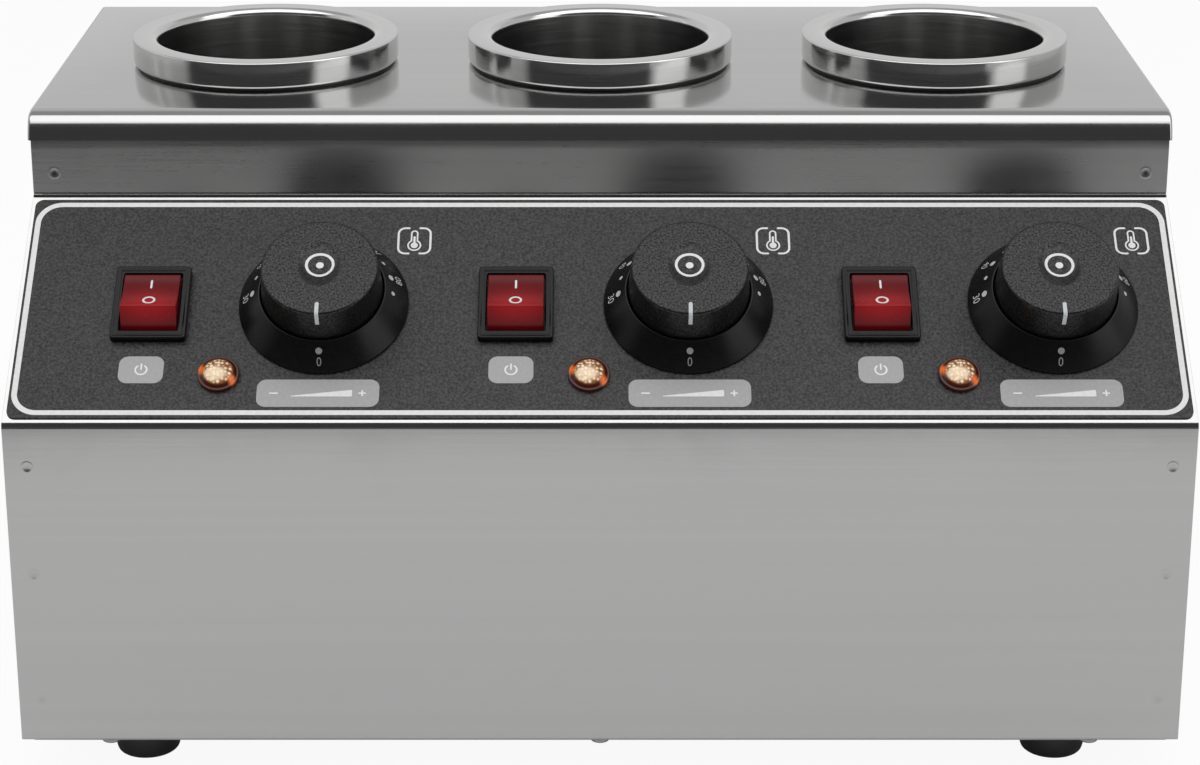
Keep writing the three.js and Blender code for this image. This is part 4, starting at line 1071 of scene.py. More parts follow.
def side_tray(sizes, side):
    """Side panel: a flat side with a rounded flange turned in all round."""
    fold = crease()
    lap = sizes.lap
    foot = BASE - lap
    corner = sizes.tray_corner
    outline = rounded([
        (BACK, foot, corner), (FRONT, foot, corner), (FRONT, fold.z, sizes.tray_fold),
        (FASCIA, fold.z + SLOPE_LENGTH * PANEL_UP.z, sizes.tray_step),
        (FASCIA, DECK_TOP, sizes.tray_nose), (BACK, DECK_TOP, corner),
    ], steps=6, closed=True)
    sign = -1 if side == "left" else 1
    flange = half_width(f"{side}_side_panel") * 2
    shape = bmesh.new()
    closed = outline + outline[:1]
    rims = []
    for wall in (0, sizes.sheet):
        levels = [(BODY_HALF - flange, wall)] + rounded_ends(BODY_HALF, sizes.bend, wall)[6:]
        rings = []
        for across, inset in levels:
            ring = ring_inset(closed, lap + inset)
            rings.append(add_ring(shape, [(sign * across, *point) for point in ring]))
        for lower, upper in zip(rings, rings[1:]):
            join_rings(shape, lower, upper)
        shape.faces.new(rings[-1])
        rims.append(rings[0])
    join_rings(shape, *rims)
    tray = add_piece(f"{side}_side_tray", finished_mesh("tray", shape), Matrix(),
                     "side_steel", [f"{side}_side_panel"])
    keep_flat(tray)


def ring_inset(closed, distance):
    """A closed outline moved in; its last point repeats its first and is dropped."""
    around = [closed[-2]] + closed + [closed[1]]
    return offset(around, distance)[1:-2]


def vent_loops(sizes, middle_up):
    """Outlines of both columns of vent slots."""
    loops = []
    corner = sizes.vent_width / 2 - 0.001 * MM
    for sign in (-1, 1):
        across = sign * (sizes.vent_length + sizes.vent_gap) / 2
        for row in (-1, 0, 1):
            centre = (across, middle_up + row * sizes.vent_pitch)
            loops.append(rectangle(sizes.vent_length, sizes.vent_width, corner, 8, centre))
    return loops


def back_sheet(sizes):
    """Back panel with its vents, and a flange under the body."""
    wall = sizes.sheet
    top = high("back_panel").z - BASE
    turn = 1.5 * MM
    outline = [Vector(point) for point in (
        (-BODY_HALF, turn), (BODY_HALF, turn), (BODY_HALF, top), (-BODY_HALF, top))]
    cut_loops = [outline, *vent_loops(sizes, sizes.back_vent_up)]
    plate = flat_mesh("back", cut_loops, wall, sizes.cut_edge)
    stand = Matrix.Translation((0, BACK - wall, BASE)) @ axes_at(
        Vector(), Vector((1, 0, 0)), Vector((0, 0, 1)), Vector((0, 1, 0)))
    shape = bmesh.new()
    bent_sheet(shape, rounded([
        (BACK, BASE + turn + sizes.cut_edge), (BACK, BASE, sizes.bend), (BACK - turn, BASE),
    ], steps=8), wall, BODY_HALF)
    inner = BODY_HALF - sizes.tray_flange - sizes.tray_gap
    foot_flange = [Vector((BACK - turn, BASE)), Vector((BACK - sizes.flange, BASE))]
    bent_sheet(shape, foot_flange, wall, inner)
    mesh = joined("back", [(plate, stand), (finished_mesh("flange", shape), Matrix())])
    back = add_piece("back_sheet", mesh, Matrix(), "sheet_steel", ["back_panel"])
    keep_flat(back)


def base_sheet(sizes):
    """Bottom plate with its vents."""
    lower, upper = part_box("bottom_plate")
    width, depth, wall = upper - lower
    outline = rectangle(width, depth, sizes.base_corner, 4, (lower.xy + upper.xy) / 2)
    vents = vent_loops(sizes, BACK - sizes.bottom_vent_in)
    mesh = flat_mesh("base", [outline, *vents], wall, sizes.cut_edge)
    place = Matrix.Translation((0, 0, lower.z))
    base = add_piece("base_sheet", mesh, place, "plated_steel", ["bottom_plate"])
    keep_flat(base)


def weld_marks(sizes):
    """Small dimples where the side panels are spot-welded to the front."""
    radius = sizes.weld_radius
    mark = turned("weld_mark", rounded([
        (0, 0.012 * MM), (radius * 0.4, 0.012 * MM, 2 * MM), (radius * 0.8, 0.045 * MM, 2 * MM),
        (radius * 1.05, 0.0), (0, -0.1 * MM),
    ], steps=4), steps=32, sharp=60)
    fold = crease()
    middle_height = (fold.z + BASE) / 2 + sizes.weld_rise
    heights = [fold.z - sizes.weld_top, middle_height, BASE + sizes.weld_foot]
    upright = axes_at(Vector(), Vector((1, 0, 0)), Vector((0, 0, 1)), Vector((0, -1, 0)))
    for side, sign in (("left", -1), ("right", 1)):
        across = sign * (BODY_HALF - sizes.weld_inset)
        places = [(FRONT, height) for height in heights]
        places.append((FASCIA + sizes.fascia_back, DECK_TOP - sizes.weld_deck_drop))
        for index, (y, z) in enumerate(places):
            place = Matrix.Translation((across, y, z)) @ upright
            # The fascia's marks take the dimple material with the stronger painted shade.
            dimple = "weld_dimple" if y == FRONT else "fascia_dimple"
            add_piece(f"{side}_weld_mark_{index}", mark.copy(), place, dimple)


class WARMER_OT_cabinet(bpy.types.Operator):
    """Builds the sheets of the cabinet"""
    bl_idname = "warmer.cabinet"
    bl_label = "Cabinet"

    def execute(self, context):
        sizes = context.scene.warmer_cabinet
        deck_sheet(sizes)
        fascia_sheet(sizes)
        front_sheet(sizes)
        for side in ("left", "right"):
            side_tray(sizes, side)
        back_sheet(sizes)
        base_sheet(sizes)
        weld_marks(sizes)
        return {"FINISHED"}


# Wells
def well_mesh(sizes, collar, rim, floor, skirt):
    """Drawn well with its rolled collar. Z 0 is the deck."""
    wall = sizes.wall
    return turned("well", rounded([
        (0, floor),
        (sizes.bore + wall, floor, sizes.floor_round + wall),
        (sizes.bore + wall, rim - wall),
        (collar - sizes.skirt_turn, rim - wall, 2 * MM),
        (collar - sizes.skirt_turn, skirt, 0.15 * MM),
        (collar, skirt, sizes.foot_round),
        (collar, rim, sizes.outer_round),
        (sizes.bore, rim, sizes.inner_round),
        (sizes.bore, floor + wall, sizes.floor_round),
        (0, floor + wall),
    ], steps=10), steps=160, sharp=60)


class WARMER_OT_wells(bpy.types.Operator):
    """Builds the drawn wells with their gaskets, and gives their heaters and sensor bulbs a finish
    """
    bl_idname = "warmer.wells"
    bl_label = "Wells"

    def execute(self, context):
        sizes = context.scene.warmer_wells
        for side in SIDES:
            lower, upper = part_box(f"{side}_well")
            place = Matrix.Translation((*middle(f"{side}_well").xy, DECK_TOP))
            collar = half_width(f"{side}_well")
            mesh = well_mesh(sizes, collar, upper.z - DECK_TOP, lower.z - DECK_TOP, sizes.skirt_up)
            add_piece(
                f"{side}_well_drawn", mesh, place, "drawn_steel", [f"{side}_well"])
            edge = 0.1 * MM
            seal_low, seal_high = 0.04 * MM, sizes.skirt_up - 0.03 * MM
            gasket = turned("gasket", rounded([
                (sizes.deck_hole, seal_low, edge), (sizes.seal, seal_low, edge),
                (sizes.seal, seal_high, edge), (sizes.deck_hole, seal_high, edge),
            ], steps=4, closed=True))
            add_piece(f"{side}_well_seal", gasket, place, "rubber",
                      [f"{side}_well_gasket"])
            dress_node(f"{side}_heater_band", "heater_jacket")
            dress_node(f"{side}_sensor_bulb", "copper_bulb")
        return {"FINISHED"}


# Control overlay
def overlay_print(name, loops, place, material):
    """A flat printed shape just proud of the film."""
    sizes = bpy.context.scene.warmer_panel
    lift = Matrix.Translation((0, 0, sizes.face - sizes.film_drop - sizes.print_height))
    mesh = flat_mesh(name, loops, 2 * sizes.print_height)
    add_piece(name, mesh, place @ lift, material)


def capsule(start, end, width, steps=8):
    """Outline of a straight stroke with round ends."""
    start, end = Vector(start), Vector(end)
    along = end - start
    heading = math.atan2(along.y, along.x)
    points = []
    for centre, base in ((end, heading - RIGHT_ANGLE), (start, heading + RIGHT_ANGLE)):
        for step in range(steps + 1):
            points.append(centre + polar(width / 2, base + math.pi * step / steps))
    return points


def stroked(path, width):
    """Outline of a bent stroke with round ends."""
    right = offset(path, width / 2)
    left = offset(path, -width / 2)
    ends = []
    for tip, from_side in ((path[-1], right[-1]), (path[0], left[0])):
        start = from_side - tip
        base = math.atan2(start.y, start.x)
        ends.append([tip + polar(width / 2, base + math.pi * step / 6) for step in range(1, 6)])
    return right + ends[0] + left[::-1] + ends[1]


def bow(radius, from_angle, to_angle, steps=16, centre=(0, 0)):
    """Points of an arc."""
    spread = to_angle - from_angle
    return [Vector(centre) + polar(radius, from_angle + spread * step / steps)
            for step in range(steps + 1)]


def cross(arm, half, centre=0.0):
    """Outline of a cross with square ends, at a place along X."""
    corners = (
        (-arm, -half), (-half, -half), (-half, -arm), (half, -arm), (half, -half), (arm, -half),
    )
    return [Vector((centre + sign * x, sign * y)) for sign in (1, -1) for x, y in corners]


def tube(bulb, stem, bulb_up, top, steps=24, cap_steps=10):
    """Outline of a round bulb with a stem that has a round end."""
    spread = math.asin(stem / bulb)
    last_turn = RIGHT_ANGLE - spread + 2 * math.pi
    around = bow(bulb, RIGHT_ANGLE + spread, last_turn, steps, (0, bulb_up))
    return around + bow(stem, 0, math.pi, cap_steps, (0, top))


def thermometer(sizes):
    """Loops of a plain thermometer between two brackets."""
    half = sizes.thermometer_frame / 2
    line = sizes.stroke
    reach, gap, corner = half - line / 2, 1.9 * MM, 2.4 * MM
    loops = []
    for sign in (-1, 1):
        path = rounded([
            (sign * gap, reach), (sign * reach, reach, corner), (sign * reach, -reach, corner),
            (sign * gap, -reach),
        ], steps=6)
        loops.append(stroked(path, line))
    bulb, stem, wall = 2.45 * MM, 1.3 * MM, 0.55 * MM
    bulb_up, top = -2.0 * MM, 3.3 * MM
    drop, column, level = 1.25 * MM, 0.38 * MM, 1.6 * MM
    return loops + [
        tube(bulb, stem, bulb_up, top),
        tube(bulb - wall, stem - wall, bulb_up, top),
        tube(drop, column, bulb_up, level, 20, 8),
    ]


def standby_mark(sizes):
    """Loops of a plain standby mark: an open ring and a bar."""
    radius = 1.95 * MM
    gap = math.radians(38)
    ring = bow(radius, RIGHT_ANGLE + gap, RIGHT_ANGLE - gap + 2 * math.pi, 28)
    line = sizes.stroke * 0.8
    return [stroked(ring, line), capsule((0, 0.2 * MM), (0, 2.3 * MM), line)]


def rising_mark(sizes):
    """Loops of a plain rising wedge between a minus and a plus."""
    line = sizes.stroke * 0.75
    reach, rise = 11.5 * MM, 2.7 * MM
    wedge = rounded([
        (-reach, -rise / 2, 0.15 * MM), (reach, -rise / 2, 0.3 * MM), (reach, rise / 2, 0.3 * MM),
    ], steps=4, closed=True)
    arm = 1.25 * MM
    ends = reach + 3.4 * MM
    minus = capsule((-ends - arm, 0), (-ends + arm, 0), line)
    return [wedge, minus, cross(arm, line / 2, ends)]


class WARMER_OT_overlay(bpy.types.Operator):
    """Builds the control overlay and its print"""
    bl_idname = "warmer.overlay"
    bl_label = "Control overlay"

    def execute(self, context):
        sizes = context.scene.warmer_panel
        width = 2 * (BODY_HALF - sizes.side_margin)
        up = SLOPE_LENGTH - sizes.lower_margin - sizes.upper_margin
        centre_up = sizes.lower_margin + up / 2
        wall = sizes.face - sizes.film_drop - sizes.film_gap
        film = flat_mesh("film", [rectangle(width, up, sizes.corner, 8)], wall, 0.08 * MM)
        add_piece("overlay_film", film, on_panel(0, centre_up, sizes.film_gap),
                  "film", ["control_overlay"])
        line_width = width - 2 * sizes.line_side_inset
        line_up = up - sizes.line_inset - sizes.line_foot_inset
        line_place = on_panel(0, centre_up + (sizes.line_foot_inset - sizes.line_inset) / 2)
        inner_corner = sizes.line_corner - sizes.line
        overlay_print("frame_line", [
            rectangle(line_width, line_up, sizes.line_corner, 12),
            rectangle(line_width - 2 * sizes.line, line_up - 2 * sizes.line, inner_corner, 12),
        ], line_place, "white_print")
        corner = sizes.plate_corner
        switch_plate = rectangle(sizes.switch_plate_width, sizes.switch_plate_length, corner, 8)
        dial_plate = rectangle(sizes.dial_plate_width, sizes.dial_plate_length, corner, 8)
        lift = Matrix.Translation((0, 0, sizes.print_height))
        for side in SIDES:
            across = module_across(side)
            switch_place = on_panel(across + sizes.switch_plate_across, sizes.switch_plate_up)
            dial_place = on_panel(across + sizes.dial_plate_across, sizes.dial_plate_up)
            overlay_print(f"{side}_switch_plate", [switch_plate], switch_place, "grey_print")
            overlay_print(f"{side}_dial_plate", [dial_plate], dial_place, "grey_print")
            for name, loops, place in (("standby_mark", standby_mark(sizes), switch_place),
                                       ("rising_mark", rising_mark(sizes), dial_place)):
                overlay_print(f"{side}_{name}", loops, place @ lift, "white_print")
            mark_place = on_panel(across + sizes.thermometer_across, sizes.thermometer_up)
            overlay_print(f"{side}_thermometer", thermometer(sizes), mark_place, "white_print")
        return {"FINISHED"}


# Rocker switches
def housing_mesh(sizes, seat):
    """Switch housing: bezel with a shallow groove, mouth and body. Z 0 is the steel slope."""
    face = seat + sizes.bezel_height
    edge = sizes.bezel_edge
    width, up, corner = sizes.bezel_width, sizes.bezel_length, sizes.corner

    def frame_at(inset, height):
        corner_left = max(corner - inset, 0.3 * MM)
        return rectangle(width - 2 * inset, up - 2 * inset, corner_left, 5), height

    wall = (width - sizes.mouth_width) / 2
    section = rectangle(sizes.mouth_width + 1.6 * MM, sizes.mouth_length + 2.6 * MM, corner, 5)
    body = [(section, height) for height in (seat - sizes.body_depth, seat)]
    rim = [frame_at(0, seat), frame_at(0, face - edge)]
    rim += [frame_at(edge * (1 - math.cos(turn)), face - edge + edge * math.sin(turn))
            for turn in (math.radians(30), math.radians(60), RIGHT_ANGLE)]
    groove = [frame_at(wall * part, face - depth) for part, depth in
              ((0.36, 0.0), (0.42, sizes.groove), (0.66, sizes.groove), (0.72, 0.0))]

    def mouth_at(grow, height):
        width_at, length_at = sizes.mouth_width + 2 * grow, sizes.mouth_length + 2 * grow
        return rectangle(width_at, length_at, 0.7 * MM, 5), height

    soft = 0.3 * MM
    mouth = [mouth_at(soft * (1 - math.sin(lean)), face - soft * (1 - math.cos(lean)))
             for lean in (0, math.radians(45), RIGHT_ANGLE)]
    mouth.append(mouth_at(0, face - sizes.mouth_depth))
    return stacked("housing", body + rim + groove + mouth, sharp=50)


def rocker_mesh(sizes):
    """Rocker about its pivot: dished face with rounded ends."""
    face = [(-sizes.face_half, sizes.face_height, sizes.edge)]
    steps = 12
    for step in range(1, steps):
        up = sizes.face_half * (2 * step / steps - 1)
        face.append((up, dish_height(sizes, up)))
    face.append((sizes.face_half, sizes.face_height, sizes.edge))
    corner = 1 * MM
    section = rounded([
        *face,
        (sizes.shoulder_half, sizes.shoulder_height, corner),
        (sizes.keel_half, -sizes.keel_drop, corner),
        (-sizes.keel_half, -sizes.keel_drop, corner),
        (-sizes.shoulder_half, sizes.shoulder_height, corner),
    ], steps=5, closed=True)
    shape = bmesh.new()
    drawn_across(shape, section, sizes.mouth_width / 2 - sizes.fit)
    return finished_mesh("rocker", shape, 30)


def dish_height(sizes, up):
    """Height of the dished face over the rocker's pivot."""
    spot = up / sizes.face_half
    return sizes.face_height - sizes.dish * (1 - spot * spot)


class WARMER_OT_switches(bpy.types.Operator):
    """Builds the switch housings and their rockers"""
    bl_idname = "warmer.switches"
    bl_label = "Rocker switches"

    def execute(self, context):
        sizes = context.scene.warmer_switch
        seat = context.scene.warmer_panel.face
        for side in SIDES:
            pivot = at_joint(f"{side}_rocker_tip")
            up = (PANEL.inverted() @ pivot.translation).y
            place = on_panel(module_across(side) + sizes.across, up)
            add_piece(f"{side}_switch_bezel", housing_mesh(sizes, seat), place,
                      "black_plastic", [f"{side}_switch_housing"])
            tilted = pivot @ Matrix.Rotation(-sizes.tilt, 4, "X")
            body = f"{side}_rocker_body"
            rocker = add_piece(f"{side}_rocker_cap", rocker_mesh(sizes), tilted,
                               "rocker_red", [f"{side}_rocker"], body)
            soften(rocker, sizes.ridge, 3, 50)
            bar = [capsule((0, -1.6 * MM), (0, 1.6 * MM), 0.7 * MM)]
            ring = [circle(2.25 * MM, 64), circle(1.5 * MM, 64)]
            for name, loops, share_up in (("on_mark", bar, 0.47), ("off_mark", ring, -0.57)):
                mesh = flat_mesh(name, loops, 0.06 * MM)
                for vertex in mesh.vertices:
                    vertex.co.y += share_up * sizes.face_half
                    vertex.co.z += dish_height(sizes, vertex.co.y) - 0.01 * MM
                add_piece(f"{side}_{name}", mesh, tilted, "white_print", (), body)
        return {"FINISHED"}


# Indicator lamps
def lens_mesh(sizes, seat, radius):
    """Lens: a low dome on a stepped rim, and the barrel behind. Z 0 is the steel slope."""
    rim = seat + sizes.rim
    crown = rim + sizes.dome
    return turned("lens", rounded([
        (0, crown),
        (radius * 0.42, crown - 0.12 * MM, 3 * MM),
        (radius * 0.84, rim + 0.35 * MM, 1.2 * MM),
        (radius * 0.88, rim, 0.15 * MM),
        (radius, rim, 0.35 * MM),
        (radius, seat, 0.1 * MM),
        (sizes.barrel, seat),
        (sizes.barrel, -sizes.barrel_depth),
        (0, -sizes.barrel_depth),
    ], steps=8), steps=72, sharp=50)


class WARMER_OT_lamps(bpy.types.Operator):
    """Builds the indicator lamps"""
    bl_idname = "warmer.lamps"
    bl_label = "Indicator lamps"

    def execute(self, context):
        sizes = context.scene.warmer_lamp
        seat = context.scene.warmer_panel.face
        for side in SIDES:
            place = on_panel(module_across(side) + sizes.across, sizes.up)
            radius = half_width(f"{side}_lamp_lens")
            add_piece(f"{side}_lamp_dome", lens_mesh(sizes, seat, radius), place,
                      "amber", [f"{side}_lamp_lens"])
            dress_node(f"{side}_lamp_clip", "black_plastic")
        return {"FINISHED"}


# Dials
def cone_point(sizes, radius, seat, turn, along, lift):
    """Point on the dial's cone: clockwise turn from its foot side, distance down from the lip."""
    slant = math.hypot(radius - sizes.lip, sizes.height - sizes.edge)
    outward, downward = (radius - sizes.lip) / slant, (sizes.height - sizes.edge) / slant
    distance = sizes.lip + along * outward + lift * downward
    height = seat + sizes.height - along * downward + lift * outward
    heading = -RIGHT_ANGLE - turn
    return Vector((distance * math.cos(heading), distance * math.sin(heading), height))


def wrapped(mesh, sizes, radius, seat, turn, along):
    """Bends a flat mark onto the dial's cone, read from outside, at a turn and a way down."""
    for vertex in mesh.vertices:
        x, y, z = vertex.co
        down = along - y
        slant_radius = sizes.lip + down * 0.67
        vertex.co = cone_point(sizes, radius, seat, turn - x / slant_radius, down, z - 0.02 * MM)
    return mesh


def text_mesh(body, size):
    """Flat digits, centred on their middle."""
    curve = bpy.data.curves.new("digits", "FONT")
    curve.body = body
    curve.size = size * 1.38
    curve.align_x = "CENTER"
    curve.align_y = "CENTER"
    curve.resolution_u = 4
    curve.extrude = 0.03 * MM
    curve.offset = -0.02 * MM
    mesh = mesh_of_curve(curve)
    mesh.transform(Matrix.Diagonal((0.82, 1, 1, 1)))
    return mesh


def scale_mesh(sizes, radius, seat, marks):
    """Dots on the dial's cone, each given with its turn and the number under it, if any."""
    parts = []
    for turn, body in marks:
        dot = flat_mesh("dot", [circle(sizes.dot if body else sizes.small_dot, 24)], 0.06 * MM)
        parts.append(wrapped(dot, sizes, radius, seat, turn, sizes.dot_down))
        if body:
            digits = text_mesh(body, sizes.digit)
            parts.append(wrapped(digits, sizes, radius, seat, turn, sizes.digit_down))
    return joined("scale", [(part, Matrix()) for part in parts])


class WARMER_OT_dials(bpy.types.Operator):
    """Builds the dial rings with their scales"""
    bl_idname = "warmer.dials"
    bl_label = "Dials"

    def execute(self, context):
        sizes = context.scene.warmer_dial
        seat = context.scene.warmer_panel.face
        for side in SIDES:
            place = at_joint(f"{side}_knob_turn")
            radius = half_width(f"{side}_dial_ring")
            top = seat + sizes.height
            ring = turned("ring", rounded([
                (sizes.bush, seat), (radius, seat, 0.12 * MM),
                (radius, seat + sizes.edge, 0.4 * MM),
                (sizes.lip, top, 0.22 * MM), (sizes.lip - sizes.lip_width, top, 0.22 * MM),
                (sizes.lip, seat + sizes.floor, 0.5 * MM), (sizes.bush, seat + sizes.floor),
            ], steps=5, closed=True), steps=144, sharp=50)
            add_piece(f"{side}_dial_cone", ring, place, "black_plastic",
                      [f"{side}_dial_ring"])
            marks = []
            for index in range(sizes.marks):
                body = "" if index % 2 else str(sizes.first_number + index // 2 * sizes.number_step)
                marks.append((sizes.first_mark + index * sizes.mark_step, body))
            for name, mesh in (("scale", scale_mesh(sizes, radius, seat, marks)),
                               ("zero", scale_mesh(sizes, radius, seat, [(0, "0")]))):
                add_piece(f"{side}_dial_{name}", mesh, place, f"{name}_print")
            dress_node(f"{side}_thermostat", "plated_steel")
        return {"FINISHED"}


# Knobs
def dish_drop(sizes, part):
    """Depth of the dish at a part of the way from its middle to its rim."""
    return sizes.dish_depth * (1 - part ** 3)


def oval(sizes, grow, part, steps=144):
    """Outline of the dish, or of a smaller one inside it."""
    across = (sizes.dish + grow) * part
    along = (sizes.dish_half + grow) * part
    return [
        Vector((across * point.x, sizes.dish_back + along * point.y)) for point in circle(1, steps)
    ]


def knob_mesh(sizes, base):
    """Knob: a hollow cap with a boss, a soft top edge and an oval dish."""
    crown = sizes.reach - sizes.crown - sizes.dish_depth
    shape = bmesh.new()
    rings = [add_ring(shape, [(0, sizes.dish_back, sizes.reach - sizes.dish_depth)])]
    steps = 12
    for step in range(1, steps + 1):
        part = step / steps
        height = sizes.reach - dish_drop(sizes, part)
        rings.append(add_ring(shape, [(*point, height) for point in oval(sizes, 0, part)]))
    rings.append(add_ring(shape, [(*point, sizes.reach) for point in oval(sizes, 0.2 * MM, 1)]))
    for radius, height in rounded([
        (sizes.top - sizes.edge - 0.2 * MM, sizes.reach),
        (sizes.top, sizes.reach, sizes.edge),
        (base, sizes.foot, 0.25 * MM),
        (base - sizes.wall, sizes.foot, 0.25 * MM),
        (sizes.top - sizes.wall, crown, 1 * MM),
        (sizes.boss, crown),
        (sizes.boss, sizes.foot),
        (sizes.boss_bore, sizes.foot),
        (sizes.boss_bore, sizes.foot + sizes.boss_depth),
    ], steps=6):
        rings.append(add_ring(shape, [(*point, height) for point in circle(radius, 144)]))
    rings.append(add_ring(shape, [(0, 0, sizes.foot + sizes.boss_depth)]))
    for lower, upper in zip(rings, rings[1:]):
        join_rings(shape, lower, upper)
    return finished_mesh("knob", shape, 50)


def pointer_mesh(sizes, base, lift, grow):
    """Line laid in the knob's top and side, towards -Y, with a round inner end."""
    lean = (base - sizes.top) / (sizes.reach - sizes.foot)
    half = sizes.pointer / 2 + grow
    start = sizes.pointer_start - grow
    turns = [math.radians(turn) for turn in (0, 22, 45, 67, 90)]
    path = [Vector((start + half * (1 - math.cos(turn)), sizes.reach)) for turn in turns]
    widths = [half * math.sin(turn) for turn in turns]
    edge = rounded([
        (start + half, sizes.reach), (sizes.top, sizes.reach, sizes.edge),
        (sizes.top + lean * (sizes.pointer_drop + grow), sizes.reach - sizes.pointer_drop - grow),
    ], steps=6)[1:]
    path += edge
    widths += [half] * len(edge)
    outer = offset(path, -lift)
    inner = offset(path, 0.4 * MM)
    shape = bmesh.new()
    rows = []
    for out, deep, wide in zip(outer, inner, widths):
        wide = max(wide, 0.05 * MM)
        rows.append(add_ring(shape, [
            (-wide, -deep.x, deep.y), (-wide, -out.x, out.y),
            (wide, -out.x, out.y), (wide, -deep.x, deep.y),
        ]))
    for before, after in zip(rows, rows[1:]):
        join_rings(shape, before, after)
    shape.faces.new(rows[0])
    shape.faces.new(rows[-1])
    return finished_mesh("pointer", shape, 40)


def ring_mark(sizes):
    """Printed ring with a dot in it, laid on the floor of the dish."""
    shape = bmesh.new()
    for outer, inner in ((sizes.ring, sizes.ring - sizes.ring_line), (1.3 * MM, 0)):
        rings = []
        for radius in (outer, (outer + inner) / 2, inner):
            ring = []
            for point in circle(radius, 72):
                part = math.hypot(point.x / sizes.dish, point.y / sizes.dish_half)
                height = sizes.reach - dish_drop(sizes, part) + 0.03 * MM
                ring.append((point.x, point.y + sizes.dish_back, height))
            rings.append(add_ring(shape, ring if radius else ring[:1]))
        for lower, upper in zip(rings, rings[1:]):
            join_rings(shape, lower, upper)
    return finished_mesh("ring_mark", shape)


class WARMER_OT_knobs(bpy.types.Operator):
    """Builds the thermostat knobs"""
    bl_idname = "warmer.knobs"
    bl_label = "Knobs"

    def execute(self, context):
        sizes = context.scene.warmer_knob
        for side in SIDES:
            place = at_joint(f"{side}_knob_turn")
            body = f"{side}_knob_body"
            base = half_width(f"{side}_knob")
            slot = pointer_mesh(sizes, base, 0.015 * MM, 0.25 * MM)
            pointer = pointer_mesh(sizes, base, 0.05 * MM, 0)
            for name, mesh, look, replaced in (
                ("knob_cap", knob_mesh(sizes, base), "knob_plastic", [f"{side}_knob"]),
                ("pointer_slot", slot, "black_plastic", ()),
                ("pointer", pointer, "pointer", ()),
                ("knob_ring", ring_mark(sizes), "white_print", ()),
            ):
                add_piece(f"{side}_{name}", mesh, place, look, replaced, body)
            dress_node(f"{side}_thermostat_shaft", "plated_steel")
        return {"FINISHED"}


# Feet and fasteners
def foot_mesh(sizes, height, top):
    """Rubber foot: a bowl under a brim, with a recess for its screw."""
    edge, hole = 0.4 * MM, 2.3 * MM
    return turned("foot", rounded([
        (sizes.foot_recess, 0, 0.3 * MM),
        (sizes.foot_base, 0, 2 * MM),
        (top - 0.3 * MM, height - sizes.foot_neck, 1.5 * MM),
        (top, height - sizes.foot_brim, edge),
        (top, height, edge),
        (hole, height),
        (hole, sizes.foot_recess_depth),
        (sizes.foot_recess, sizes.foot_recess_depth, edge),
    ], steps=5, closed=True), steps=64, sharp=50)


def screw_mesh(head, head_height, shank, shank_length):
    """Pan-headed screw that points up; its cross recess is cut afterwards. Z 0 is the head's seat.
    """
    return turned("screw", rounded([
        (0, -head_height), (head * 0.92, -head_height * 0.82, 1.2 * MM),
        (head, -0.3 * MM, 0.25 * MM),
        (head, 0), (shank, 0), (shank, shank_length, 0.3 * MM), (0, shank_length),
    ], steps=4), steps=48, sharp=40)


def cross_recess(head, head_height):
    """Cutter for a cross recess in the underside of a head."""
    deep = -head_height * 0.4
    under = -head_height - 1 * MM
    shape = bmesh.new()
    outline = cross(head * 0.55, head * 0.15)
    rings = [add_ring(shape, [(*(point * scale), height) for point in outline])
             for scale, height in ((1.1, under), (1.0, -head_height), (0.6, deep))]
    for lower, upper in zip(rings, rings[1:]):
        join_rings(shape, lower, upper)
    shape.faces.new(rings[0])
    shape.faces.new(rings[-1])
    return finished_mesh("recess", shape)


class WARMER_OT_feet(bpy.types.Operator):
    """Builds the rubber feet and their screws"""
    bl_idname = "warmer.feet"
    bl_label = "Feet"

    def execute(self, context):
        sizes = context.scene.warmer_fasteners
        head, head_height = sizes.foot_head, sizes.foot_head_height
        nut_loops = [circle(4 * MM, 6), circle(2.1 * MM, 24)]
        nut_lift = Matrix.Translation((0, 0, high("bottom_plate").z + 0.3 * MM))
        for name in FEET:
            place = Matrix.Translation((*middle(name).xy, 0))
            mesh = foot_mesh(sizes, high(name).z, half_width(name) + sizes.foot_extra)
            add_piece(f"{name}_bowl", mesh, place, "rubber", [name])
            lower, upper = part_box(f"{name}_screw")
            seat = lower.z + head_height
            mesh = screw_mesh(head, head_height, 2 * MM, upper.z - seat)
            screw = add_piece(f"{name}_bolt", mesh, place @ Matrix.Translation((0, 0, seat)),
                              "plated_steel", [f"{name}_screw"])
            cut_by(screw, cross_recess(head, head_height))
            nut = flat_mesh("nut", nut_loops, 3.2 * MM, 0.2 * MM)
            add_piece(f"{name}_nut", nut, place @ nut_lift, "plated_steel")
        return {"FINISHED"}


class WARMER_OT_screws(bpy.types.Operator):
    """Builds the screws of the bottom plate"""
    bl_idname = "warmer.screws"
    bl_label = "Plate screws"

    def execute(self, context):
        sizes = context.scene.warmer_fasteners
        head, head_height = sizes.plate_head, sizes.plate_head_height
        for node in sorted(name for name in frame["nodes"] if name.endswith("_plate_screw")):
            lower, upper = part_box(node)
            seat = lower.z + head_height
            place = Matrix.Translation((*middle(node).xy, seat))
            mesh = screw_mesh(head, head_height, 1.6 * MM, upper.z - seat)
            screw = add_piece(f"{node}_head", mesh, place, "plated_steel", [node])
            cut_by(screw, cross_recess(head, head_height))
        return {"FINISHED"}


